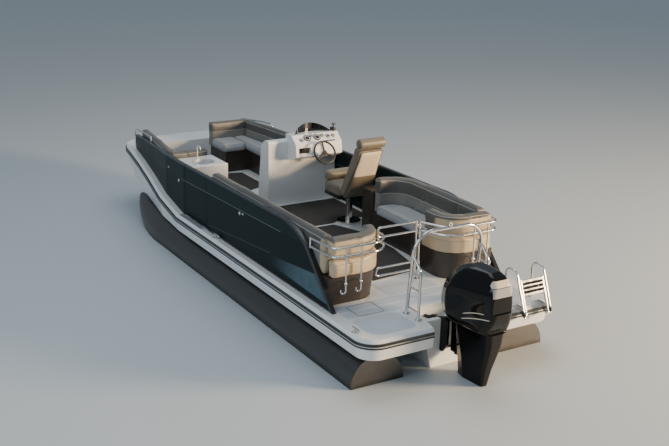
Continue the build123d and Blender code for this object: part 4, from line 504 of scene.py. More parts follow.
@dataclass(frozen=True)
class MotorPaint(Finish):
    """Gloss black motor paint, with a light rear panel over a smoked window and thin lines on the sides."""

    color: Color = (0.004, 0.0035, 0.0035)
    light: Color = (0.66, 0.58, 0.44)
    silver: Color = (0.36, 0.355, 0.34)
    window: Color = (0.002, 0.003, 0.004)
    decorated: bool = False
    # the rear panel's front end and half width
    rear_y: float = -0.47
    rear_half: float = 0.124
    # heights over the deck of the smoked window, the panel and the groove across it
    glass: tuple[float, float] = (0.290, 0.466)
    panel: tuple[float, float] = (0.470, 0.640)
    groove: tuple[float, float] = (0.571, 0.577)
    # how far out the side lines start, and their half width
    side_x: float = 0.135
    line_half: float = 0.0045
    # the lines' first y, their y run, and height, rise and bend along it
    lines: tuple[tuple[float, float, float, float, float], ...] = (
        (-0.185, 0.260, 0.211, 0.445, -0.686), (-0.172, 0.345, 0.151, 0.380, -0.408))

    def decorate(self, made: Surface, shade: Socket) -> Socket:
        """Adds the rear panel, the window and the side lines.

        Args:
            made: The surface so far.
            shade: Its plain colour.

        Returns:
            The decorated colour.
        """
        across, along, height = made.axes()
        wide = made.calc("ABSOLUTE", across)
        rear = made.calc("MULTIPLY", made.below(along, self.rear_y, 0.004),
                         made.below(wide, self.rear_half, 0.002))
        panel, glass = (made.calc("MULTIPLY", rear, made.band(height, DECK + low, DECK + high, 0.002))
                        for low, high in (self.panel, self.glass))
        low, high = self.groove
        upper = made.above(height, DECK + (low + high) / 2)
        shade = made.mix(panel, shade, made.mix(upper, self.silver, self.light))
        groove = made.calc("MULTIPLY", rear, made.band(height, DECK + low, DECK + high))
        shade = made.mix(made.calc("MAXIMUM", glass, groove), shade, self.window)
        side = made.above(wide, self.side_x, 0.002)
        for first, run, base, rise, bend in self.lines:
            gone = made.calc("SUBTRACT", first, along)
            climb = made.calc("ADD", made.calc("MULTIPLY", gone, rise),
                              made.calc("MULTIPLY", made.calc("MULTIPLY", gone, gone), bend))
            over = made.calc("SUBTRACT", height, made.calc("ADD", climb, DECK + base))
            mask = made.calc("MULTIPLY", made.band(over, -self.line_half, self.line_half),
                             made.band(gone, 0.0, run, 0.01))
            shade = made.mix(made.calc("MULTIPLY", mask, side), shade, self.light)
        return shade

    def paint(self) -> bpy.types.Material:
        """Makes the material."""
        made = Surface(self.name, Roughness=0.2, Specular_IOR_Level=0.16, Coat_Weight=0.25,
                       Coat_Roughness=0.03)
        shade: Socket = made.tint(self.color, made.noise(6.0, 3.0), 0.3)
        if self.decorated:
            shade = self.decorate(made, shade)
        made.color(shade)
        made.rough(made.noise(20.0, 3.0), 0.05, 0.12)
        made.bump(made.noise(9.0, 1.0), 0.02, 0.004)
        return made.material


@dataclass(frozen=True)
class Acrylic(Finish):
    """Smoked acrylic sheet."""

    color: Color = (0.018, 0.018, 0.020)

    def paint(self) -> bpy.types.Material:
        """Makes the material."""
        made = Surface(self.name, Roughness=0.06, IOR=1.49, Transmission_Weight=0.85)
        made.color(made.tint(self.color, made.noise(8.0), 0.15))
        return made.material


@dataclass(frozen=True)
class Plain(Finish):
    """Small parts in one colour, with slight unevenness."""

    color: Color = (0.02, 0.02, 0.02)
    roughness: float = 0.4
    metallic: float = 0.0

    def paint(self) -> bpy.types.Material:
        """Makes the material."""
        made = Surface(self.name, Roughness=self.roughness, Metallic=self.metallic)
        drift = made.noise(25.0, 3.0)
        made.color(made.tint(self.color, drift, 0.12))
        made.rough(drift, max(0.03, self.roughness - 0.05), self.roughness + 0.08)
        made.bump(made.noise(260.0, 2.0), 0.05, 0.0006)
        return made.material


TAUPE: Color = (0.200, 0.190, 0.170)
SLATE: Color = (0.088, 0.084, 0.076)
CHAIR: Color = (0.165, 0.138, 0.098)
TAN: Color = (0.50, 0.39, 0.25)
GREY: Color = (0.31, 0.315, 0.32)
CREAM: Color = (0.66, 0.56, 0.42)

WHITE_HULL = Gelcoat("white_gelcoat", walked=True)
WHITE_PLAIN = Gelcoat("white_gelcoat_plain")
STAINLESS = Stainless("polished_stainless")
BASE_BROWN = Moulded("brown_seat_base")
BLACK_TRIM = Moulded("black_trim", (0.012, 0.012, 0.012), 0.3, 500.0)
BACKS_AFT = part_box("port_lounge_backs")[0][1]
# the backs' rear colour is partly tan vinyl, partly painted sunlight on their aft faces and end sides
VINYL_BACK = Vinyl("vinyl_back", TAUPE, SLATE, DECK + 0.60, rear=(0.46, 0.37, 0.24), rear_top=DECK + 0.735,
                   rear_end=1.30, rear_wrap=BACKS_AFT + 0.17)
VINYL_BACK_BOW = Vinyl("vinyl_back_bow", TAUPE, SLATE, DECK + 0.56)
VINYL_BAND = Vinyl("vinyl_band", TAN)
VINYL_SEAT = Vinyl("vinyl_seat", GREY)
VINYL_CHAIR = Vinyl("vinyl_chair", CHAIR)
PIPING = Vinyl("vinyl_piping", (0.36, 0.32, 0.26), grain=700.0)
BLACK_SOFT = Plain("black_rubber", (0.015, 0.015, 0.015), 0.6)
DIAL_BLACK = Plain("dial_black", (0.010, 0.010, 0.012), 0.3)
DIAL_WHITE = Plain("dial_white", (0.75, 0.75, 0.72), 0.4)
DIAL_RED = Plain("dial_red", (0.6, 0.05, 0.02), 0.4)


def new_object(name: str, mesh: bpy.types.Mesh) -> bpy.types.Object:
    """Puts a mesh into the scene.

    Args:
        name: The object's name.
        mesh: Its mesh.

    Returns:
        The object, at the origin.
    """
    made = bpy.data.objects.new(name, mesh)
    bpy.context.scene.collection.objects.link(made)
    return made


def mesh_of(name: str, points: Iterable[Sequence[float]], faces: Iterable[Sequence[int]]) -> bpy.types.Mesh:
    """A mesh from points and faces, with its doubles merged and its normals outwards."""
    made = bpy.data.meshes.new(name)
    made.from_pydata([tuple(p) for p in points], [], [tuple(f) for f in faces])
    work = bmesh.new()
    work.from_mesh(made)
    bmesh.ops.remove_doubles(work, verts=work.verts, dist=1e-6)
    bmesh.ops.recalc_face_normals(work, faces=work.faces)
    work.to_mesh(made)
    work.free()
    return made


def finish_piece(piece: bpy.types.Object, body: str, finish: Finish,
                 smooth: bool = True) -> bpy.types.Object:
    """Gives a piece its material and its body.

    Args:
        piece: The object.
        body: The CAD body that it rides on.
        finish: Its finish.
        smooth: Whether its faces are shaded smooth.

    Returns:
        The piece.
    """
    piece.data.materials.clear()
    piece.data.materials.append(finish.material())
    if smooth:
        for face in piece.data.polygons:
            face.use_smooth = True
    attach(piece, body)
    LOG.info("piece %s on %s: %d faces", piece.name, body, len(piece.data.polygons))
    return piece


def dress(finish: Finish, *nodes: str) -> None:
    """Gives CAD nodes a finish.

    Args:
        finish: The finish.
        nodes: The nodes' names.
    """
    made = finish.material()
    for node in nodes:
        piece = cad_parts[node]
        if not piece.material_slots:
            piece.data.materials.append(made)
        for slot in piece.material_slots:
            slot.material = made
        LOG.info("node %s: %s", node, made.name)


def baked(piece: bpy.types.Object) -> bpy.types.Mesh:
    """The piece's mesh as its modifiers make it."""
    graph = bpy.context.evaluated_depsgraph_get()
    return bpy.data.meshes.new_from_object(piece.evaluated_get(graph))


def add_bevel(piece: bpy.types.Object, width: float, segments: int = 3) -> None:
    """Rounds a piece's sharp edges."""
    made = piece.modifiers.new("round", "BEVEL")
    made.width = width
    made.segments = segments
    made.limit_method = "ANGLE"
    made.angle_limit = math.radians(35)
    made.harden_normals = False


def add_ease(piece: bpy.types.Object, rounds: int) -> None:
    """Smooths a piece's points."""
    made = piece.modifiers.new("ease", "SMOOTH")
    made.factor = 0.5
    made.iterations = rounds


def tube_shape(path: Sequence[Vector], radius: float, sides: int = 8,
               closed: bool = False) -> tuple[list[Vector], list[tuple[int, ...]]]:
    """Rings of a round tube along a path.

    Args:
        path: The points that it follows.
        radius: Its radius.
        sides: How many sides it has.
        closed: Whether the path is a loop.

    Returns:
        Points and faces.
    """
    count = len(path)
    points: list[Vector] = []
    faces: list[tuple[int, ...]] = []
    side = None
    for index, place in enumerate(path):
        before = path[index - 1] if index or closed else place
        after = path[(index + 1) % count] if index < count - 1 or closed else place
        ahead = (after - before).normalized()
        if side is None:
            side = ahead.orthogonal().normalized()
        side = (side - ahead * side.dot(ahead)).normalized()
        other = ahead.cross(side)
        for turn in range(sides):
            angle = 2 * math.pi * turn / sides
            points.append(place + (side * math.cos(angle) + other * math.sin(angle)) * radius)
    for ring in range(count if closed else count - 1):
        here, there = ring * sides, (ring + 1) % count * sides
        for turn in range(sides):
            step = (turn + 1) % sides
            faces.append((here + turn, here + step, there + step, there + turn))
    if not closed:
        faces.append(tuple(range(sides)))
        faces.append(tuple(range((count - 1) * sides, count * sides)))
    return points, faces


def tubes(name: str, paths: Sequence[Sequence[Vector]], radius: float, sides: int = 8,
          closed: bool = False) -> bpy.types.Object:
    """Several round tubes as one object."""
    points: list[Vector] = []
    faces: list[tuple[int, ...]] = []
    for path in paths:
        more, rings = tube_shape(path, radius, sides, closed)
        faces += [tuple(i + len(points) for i in ring) for ring in rings]
        points += more
    return new_object(name, mesh_of(name, points, faces))


def plate(x0: float, x1: float, y0: float, y1: float, radius: float, steps: int = 6) -> Outline:
    """The plan outline of a rectangle with rounded corners.

    Args:
        x0: One side.
        x1: The other side.
        y0: One end.
        y1: The other end.
        radius: The rounding.
        steps: Points in each corner.

    Returns:
        The outline's points.
    """
    out: Outline = []
    corners = ((x0, y0), (x1, y0), (x1, y1), (x0, y1))
    for index, here in enumerate(corners):
        spot = Vector(here)
        before = (Vector(corners[index - 1]) - spot)
        after = (Vector(corners[(index + 1) % 4]) - spot)
        reach = min(radius, before.length * 0.45, after.length * 0.45)
        start, end = spot + before.normalized() * reach, spot + after.normalized() * reach
        for step in range(steps + 1):
            t = step / steps
            place = start * (1 - t) ** 2 + spot * 2 * t * (1 - t) + end * t ** 2
            out.append((place.x, place.y))
    return out


def slab(name: str, outlines: Sequence[Outline], low: float, high: float,
         frame_of: Optional[Matrix] = None) -> bpy.types.Object:
    """Flat plates raised from plan outlines.

    Args:
        name: The object's name.
        outlines: One closed outline for each plate.
        low: Height of their undersides.
        high: Height of their tops.
        frame_of: Where the plan lies, if not on the boat's own axes.

    Returns:
        The object.
    """
    points: list[Vector] = []
    faces: list[tuple[int, ...]] = []
    for outline in outlines:
        first, count = len(points), len(outline)
        for z in (low, high):
            points += [Vector((x, y, z)) for x, y in outline]
        faces.append(tuple(range(first, first + count)))
        faces.append(tuple(range(first + count, first + 2 * count)))
        for i in range(count):
            j = (i + 1) % count
            faces.append((first + i, first + j, first + count + j, first + count + i))
    if frame_of is not None:
        points = [frame_of @ p for p in points]
    return new_object(name, mesh_of(name, points, faces))


def ring_outline(x: float, y: float, radius: float, sides: int) -> Outline:
    """A circle as a plan outline."""
    return [(x + radius * math.cos(2 * math.pi * i / sides), y + radius * math.sin(2 * math.pi * i / sides))
            for i in range(sides)]


def islands(node: str) -> list[bpy.types.Mesh]:
    """The separate solids of a CAD node, each as a mesh of its own."""
    work = bmesh.new()
    work.from_mesh(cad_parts[node].data)
    bmesh.ops.remove_doubles(work, verts=work.verts, dist=1e-5)
    work.verts.ensure_lookup_table()
    seen: set[int] = set()
    found: list[bpy.types.Mesh] = []
    for start in work.verts:
        if start.index in seen:
            continue
        group, queue = {start.index}, [start]
        while queue:
            here = queue.pop()
            for edge in here.link_edges:
                other = edge.other_vert(here)
                if other.index not in group:
                    group.add(other.index)
                    queue.append(other)
        seen |= group
        part = work.copy()
        part.verts.ensure_lookup_table()
        bmesh.ops.delete(part, geom=[v for v in part.verts if v.index not in group], context="VERTS")
        mesh = bpy.data.meshes.new(node + "_solid")
        part.to_mesh(mesh)
        part.free()
        found.append(mesh)
    work.free()
    return found


def section(mesh: bpy.types.Mesh, height: float) -> list[list[Vector]]:
    """The closed outlines of a mesh at a height.

    Args:
        mesh: The mesh.
        height: The height of the cut.

    Returns:
        One list of points for each outline.
    """
    work = bmesh.new()
    work.from_mesh(mesh)
    cut = bmesh.ops.bisect_plane(work, geom=work.verts[:] + work.edges[:] + work.faces[:],
                                 plane_co=(0, 0, height), plane_no=(0, 0, 1))
    edges = {e for e in cut["geom_cut"] if isinstance(e, bmesh.types.BMEdge)}
    loops: list[list[Vector]] = []
    while edges:
        edge = edges.pop()
        path, here = [edge.verts[0].co.copy(), edge.verts[1].co.copy()], edge.verts[1]
        while True:
            ahead = next((e for e in here.link_edges if e in edges), None)
            if ahead is None:
                break
            edges.discard(ahead)
            here = ahead.other_vert(here)
            path.append(here.co.copy())
        loops.append(path[:-1])
    work.free()
    return loops


def evened(path: Sequence[Vector], pitch: float, passes: int = 2) -> list[Vector]:
    """A closed path with even spacing, smoothed a little.

    Args:
        path: The points.
        pitch: The spacing wanted.
        passes: How often it is smoothed.

    Returns:
        The new points.
    """
    places = [*path, path[0]]
    lengths = [0.0]
    for a, b in zip(places, places[1:]):
        lengths.append(lengths[-1] + (b - a).length)
    count = max(8, int(lengths[-1] / pitch))
    out: list[Vector] = []
    index = 0
    for step in range(count):
        want = lengths[-1] * step / count
        while index < len(lengths) - 2 and lengths[index + 1] < want:
            index += 1
        span = max(1e-9, lengths[index + 1] - lengths[index])
        out.append(places[index].lerp(places[index + 1], min(1.0, (want - lengths[index]) / span)))
    for _ in range(passes):
        out = [(out[i - 1] + p * 2 + out[(i + 1) % count]) / 4 for i, p in enumerate(out)]
    return out


class Grower(Wiring):
    """A Geometry Nodes tree that sets a small part on points."""

    def __init__(self, name: str, sizes: dict[str, float]) -> None:
        """Starts the tree with its named sizes.

        Args:
            name: The tree's name.
            sizes: Each named input and its value.
        """
        self.tree = bpy.data.node_groups.new(name, "GeometryNodeTree")
        self.tree.interface.new_socket("Geometry", in_out="INPUT", socket_type="NodeSocketGeometry")
        self.tree.interface.new_socket("Geometry", in_out="OUTPUT", socket_type="NodeSocketGeometry")
        self.sizes = sizes
        self.keys: dict[str, str] = {}
        for key, value in sizes.items():
            socket = self.tree.interface.new_socket(key, in_out="INPUT", socket_type="NodeSocketFloat")
            socket.default_value = value
            self.keys[key] = socket.identifier
        self.start = self.tree.nodes.new("NodeGroupInput")
        self.end = self.tree.nodes.new("NodeGroupOutput")

    def size(self, key: str) -> Socket:
        """The socket of a named size."""
        return self.start.outputs[key]

    def close(self, geometry: Socket, material: bpy.types.Material) -> None:
        """Ends the tree with real geometry and its material."""
        real = self.node("GeometryNodeRealizeInstances", None, Geometry=geometry)
        dressed = self.node("GeometryNodeSetMaterial", None, Geometry=real.outputs[0], Material=material)
        self.tree.links.new(dressed.outputs[0], self.end.inputs["Geometry"])

    def grow(self, name: str, base: bpy.types.Mesh) -> bpy.types.Object:
        """Runs the tree on a base mesh.

        Args:
            name: The new object's name.
            base: The mesh that carries the points.

        Returns:
            The object with its plain mesh.
        """
        carrier = new_object(name + "_base", base)
        modifier = carrier.modifiers.new("grow", "NODES")
        modifier.node_group = self.tree
        for key, value in self.sizes.items():
            modifier[self.keys[key]] = value
        made = new_object(name, baked(carrier))
        bpy.data.objects.remove(carrier)
        return made


def screw_tree(radius: float = 0.006, height: float = 0.0025) -> Grower:
    """A tree that sets an upright round screw head on each point.

    Args:
        radius: Of the head.
        height: Of the head.

    Returns:
        The tree.
    """
    grower = Grower("screw_heads", {"Radius": radius, "Height": height})
    head = grower.node("GeometryNodeMeshUVSphere", None, Segments=12, Rings=6, Radius=grower.size("Radius"))
    points = grower.node("GeometryNodeMeshToPoints", None, Mesh=grower.start.outputs["Geometry"])
    flat = grower.node("ShaderNodeCombineXYZ", None, X=1.0, Y=1.0)
    share = grower.node("ShaderNodeMath", {"operation": "DIVIDE"})
    grower.tree.links.new(grower.size("Height"), share.inputs[0])
    grower.tree.links.new(grower.size("Radius"), share.inputs[1])
    grower.tree.links.new(share.outputs[0], flat.inputs["Z"])
    placed = grower.node("GeometryNodeInstanceOnPoints", None, Points=points.outputs[0],
                         Instance=head.outputs["Mesh"], Scale=flat.outputs[0])
    grower.close(placed.outputs[0], STAINLESS.material())
    return grower


@dataclass(frozen=True)
class Cushion:
    """The padded pieces that stand for one soft CAD node."""

    node: str
    finish: Finish
    slot: str
    body: str = "hull"
    voxel: float = 0.014
    shrink: float = 0.007
    puff: float = 0.013
    seams: tuple[tuple[Axis, float], ...] = ()
    piping: tuple[float, ...] = (0.035,)
    piping_radius: float = 0.005
    fill: float = 0.8
    stiffness: float = 12.0
    pressure: float = 4.0
    frames: int = 20
    seam_depth: float = 0.006

    def start(self) -> bpy.types.Mesh:
        """Even, slightly smaller copies of the CAD solids in one mesh."""
        work = bmesh.new()
        for solid in islands(self.node):
            piece = new_object("solid", solid)
            remesh = piece.modifiers.new("even", "REMESH")
            remesh.mode = "VOXEL"
            remesh.voxel_size = self.voxel
            shrink = piece.modifiers.new("shrink", "DISPLACE")
            shrink.strength = -self.shrink
            shrink.mid_level = 0.0
            add_ease(piece, 4)
            work.from_mesh(baked(piece))
            bpy.data.objects.remove(piece)
        made = bpy.data.meshes.new(self.node + "_soft")
        work.to_mesh(made)
        work.free()
        return made

    def held(self, place: Vector, floor: float) -> bool:
        """Whether a point is sewn down or rests on the base."""
        if place.z < floor + self.voxel * 0.6:
            return True
        return any(abs(place[axis.value] - at) < self.voxel * 0.55 for axis, at in self.seams)

    def swell(self, mesh: bpy.types.Mesh) -> bpy.types.Mesh:
        """Blows the pads up between their seams, as a fabric under pressure does.

        Args:
            mesh: The pads before they are filled.

        Returns:
            The filled pads.
        """
        floor = min(v.co.z for v in mesh.vertices)
        rest = [v.co.copy() for v in mesh.vertices]
        normals = [v.normal.copy() for v in mesh.vertices]
        fixed = [self.held(place, floor) for place in rest]
        piece = new_object(self.node + "_cloth", mesh)
        pins = piece.vertex_groups.new(name="sewn")
        pins.add([i for i, stays in enumerate(fixed) if stays], 1.0, "REPLACE")
        cloth = piece.modifiers.new("cloth", "CLOTH")
        cloth.settings.quality = 4
        cloth.settings.mass = 0.3
        cloth.settings.tension_stiffness = self.stiffness
        cloth.settings.compression_stiffness = self.stiffness
        cloth.settings.bending_stiffness = self.stiffness / 8
        cloth.settings.use_pressure = True
        cloth.settings.uniform_pressure_force = self.pressure
        cloth.settings.vertex_group_mass = "sewn"
        cloth.settings.effector_weights.gravity = 0
        cloth.collision_settings.use_collision = False
        cloth.point_cache.frame_start = 1
        cloth.point_cache.frame_end = self.frames
        scene = bpy.context.scene
        for number in range(1, self.frames + 1):
            scene.frame_set(number)
        filled = baked(piece)
        scene.frame_set(1)
        for vertex, place, normal in zip(filled.vertices, rest, normals):
            move = vertex.co - place
            if move.length > self.puff:
                vertex.co = place + move.normalized() * self.puff
        bpy.data.objects.remove(piece)
        return filled

    def sew(self, mesh: bpy.types.Mesh) -> None:
        """Sinks the seams a little between the filled parts."""
        for vertex in mesh.vertices:
            for axis, at in self.seams:
                gap = abs(vertex.co[axis.value] - at)
                if gap < self.voxel * 3:
                    share = math.exp(-(gap / (self.voxel * 0.8)) ** 2)
                    vertex.co -= vertex.normal * self.seam_depth * share

    def build(self) -> None:
        """Makes the padded piece with its piping."""
        mesh = self.swell(self.start())
        self.sew(mesh)
        piece = new_object(self.node + "_vinyl", mesh)
        add_ease(piece, 2)
        mesh = baked(piece)
        piece.modifiers.clear()
        piece.data = mesh
        finish_piece(piece, self.body, self.finish)
        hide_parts(self.node)
        self.trim(mesh)

    def trim(self, mesh: bpy.types.Mesh) -> None:
        """Lays piping round each pad under its top edge."""
        top = max(vertex.co.z for vertex in mesh.vertices)
        loops: list[list[Vector]] = []
        for drop in self.piping:
            loops += [evened(loop, 0.016) for loop in section(mesh, top - drop) if len(loop) > 20]
        if loops:
            piece = tubes(self.node + "_piping", loops, self.piping_radius, 6, True)
            finish_piece(piece, self.body, PIPING)


@dataclass
class Moulding:
    """The deck moulding, its non-skid fields, rub rail and floor."""

    lift: float = 0.0015
    half: float = 1.10
    # the two fields beside the motor: inner edge, aft and bow end
    wing: tuple[float, float, float] = (0.52, 0.150, 0.62)
    # aft and bow ends of the fields across the boat
    rows: tuple[tuple[float, float], ...] = ((0.642, 0.80), (0.822, 0.985))
    # sides and ends of the field at the gate, and of the locker's seal
    entry: tuple[float, float, float, float] = (-0.33, 0.36, 1.01, 1.42)
    locker: tuple[float, float, float, float] = (-0.95, -0.62, 0.66, 0.95)
    corner: float = 0.03

    def fields(self) -> list[Outline]:
        """Outlines of the non-skid fields on the swim deck."""
        inner, aft, bow = self.wing
        out = [plate(side * inner, side * self.half, aft, bow, 0.13) for side in (-1, 1)]
        out += [plate(-self.half, self.half, y0, y1, self.corner) for y0, y1 in self.rows]
        return [*out, plate(*self.entry, self.corner)]

    def build(self) -> None:
        """Dresses the moulding."""
        dress(WHITE_HULL, "deck")
        dress(WHITE_PLAIN, "motor_pod")
        dress(RubRail("rub_rail_vinyl"), "rub_rail")
        dress(WovenFloor("woven_floor"), "floor_mats")
        # the tubes' dark colour is painted shade and a painted reflection of dark water
        dress(Aluminium("shaded_tube_aluminium"), "pontoons")
        dress(Aluminium("riser_aluminium", (0.30, 0.30, 0.30)), "pontoon_risers")
        dress(Aluminium("beam_aluminium", (0.45, 0.46, 0.47)), "crossmembers")
        dress(STAINLESS, "cleats")
        top = DECK + self.lift
        piece = slab("nonskid_fields", self.fields(), DECK + 0.0001, top)
        finish_piece(piece, "hull", NonSkid("nonskid"), False)
        loop = [Vector((x, y, top + 0.001)) for x, y in plate(*self.locker, self.corner)]
        finish_piece(tubes("locker_seal", [loop], 0.0025, 6, True), "hull", BLACK_SOFT)


@dataclass
class SidePanels:
    """The side panels with their caps, pillars and fittings."""

    outer: float = 1.170
    # aft and bow ends of the trim along the panels' feet, broken at the port gate
    port_runs: tuple[tuple[float, float], ...] = ((0.93, 4.09), (4.13, 4.78), (4.82, 4.87))
    starboard_runs: tuple[tuple[float, float], ...] = ((0.93, 4.87),)
    trim_height: float = 0.018
    trim_radius: float = 0.008
    # sides of the step pads, outboard of the panel, and their ends
    sill_x: tuple[float, float] = (0.078, 0.016)
    sill_runs: tuple[tuple[float, float], ...] = ((4.15, 4.49), (4.51, 4.85))
    # node, y and height above the deck of small plates on the port panels
    studs: tuple[tuple[str, float, float], ...] = (
        ("side_panel_port_aft", 3.020, 0.515), ("side_panel_port_fwd", 5.420, 0.530))

    def build(self) -> None:
        """Dresses the panels."""
        paint = PanelPaint("panel_paint")
        dress(paint, "side_panel_port_aft", "side_panel_port_fwd", "side_panel_starboard", "port_gate")
        dress(BLACK_TRIM, "panel_caps", "aft_pillars", "port_gate_cap")
        dress(STAINLESS, "panel_fittings")
        strips = []
        for side, runs in ((-1, self.port_runs), (1, self.starboard_runs)):
            x, z = side * (self.outer + 0.002), DECK + self.trim_height
            for y0, y1 in runs:
                count = max(2, int((y1 - y0) / 0.2))
                strips.append([Vector((x, y0 + (y1 - y0) * i / count, z)) for i in range(count + 1)])
        piece = tubes("panel_foot_trim", strips, self.trim_radius, 8)
        finish_piece(piece, "hull", BLACK_TRIM)
        self.sill()
        for index, (node, along, height) in enumerate(self.studs):
            self.stud(f"panel_stud_{index + 1}", node, Vector((-3.0, along, DECK + height)))

    def stud(self, name: str, node: str, start: Vector) -> None:
        """A small bright plate that lies on a panel's face.

        Args:
            name: The piece's name.
            node: The panel's CAD node.
            start: A point outboard of the plate's place.
        """
        found, place, out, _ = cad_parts[node].ray_cast(start, Vector((1, 0, 0)))
        assert found, name
        side = Vector((0, 0, 1)).cross(out).normalized()
        lying = Matrix((side, out.cross(side), out)).transposed().to_4x4()
        lying.translation = place
        piece = slab(name, [plate(-0.022, 0.022, -0.012, 0.012, 0.010, 4)], 0.0003, 0.007, lying)
        add_bevel(piece, 0.002, 2)
        finish_piece(piece, "hull", STAINLESS, False)

    def sill(self) -> None:
        """A grey step pad on the ledge outside the port gate."""
        x0, x1 = (-self.outer - out for out in self.sill_x)
        pads = [plate(x0, x1, y0, y1, 0.012, 4) for y0, y1 in self.sill_runs]
        piece = slab("gate_sill", pads, DECK + 0.0001, DECK + 0.006)
        add_bevel(piece, 0.002, 2)
        finish_piece(piece, "hull", NonSkid("sill_grip", (0.24, 0.29, 0.32)), False)


@dataclass
class Lounges:
    """The aft and bow lounges: bases, bands, backs and pads."""

    def cushions(self) -> list[Cushion]:
        """The table of padded pieces."""
        port, starboard, bow_port, bow_starboard = (
            tuple((Axis.Y, at) for at in row)
            for row in ((1.60, 2.42, 3.25), (1.55, 2.2), (6.3,), (5.7, 6.4)))
        shell = {"finish": VINYL_BAND, "slot": "vinyl_tan", "piping": (0.05,), "puff": 0.010}
        back = {"finish": VINYL_BACK, "slot": "vinyl_taupe"}
        bow = {"finish": VINYL_BACK_BOW, "slot": "vinyl_taupe", "piping": (0.04, 0.16)}
        pad = {"finish": VINYL_SEAT, "slot": "vinyl_grey", "piping": (0.022,)}
        return [
            Cushion("port_lounge_shell", **shell),
            Cushion("port_lounge_backs", **back, seams=port, piping=(0.045, 0.19)),
            Cushion("port_lounge_pads", **pad),
            Cushion("starboard_lounge_shell", **shell),
            Cushion("starboard_lounge_backs", **back, seams=starboard, piping=(0.045, 0.21)),
            Cushion("starboard_lounge_pads", **pad),
            Cushion("bow_port_backs", **bow, seams=bow_port),
            Cushion("bow_port_pads", **pad),
            Cushion("bow_starboard_backs", **bow, seams=bow_starboard),
            Cushion("bow_starboard_pads", **pad),
        ]

    def build(self) -> None:
        """Dresses the lounges."""
        dress(BASE_BROWN, "port_lounge_base", "starboard_lounge_base", "bow_port_base", "bow_starboard_base",
              "storage_cabinet")
        dress(WHITE_PLAIN, "sink_cabinet")
        dress(Plain("brushed_bowl", (0.72, 0.73, 0.73), 0.4, 0.8), "sink_bowl")
        for cushion in self.cushions():
            cushion.build()


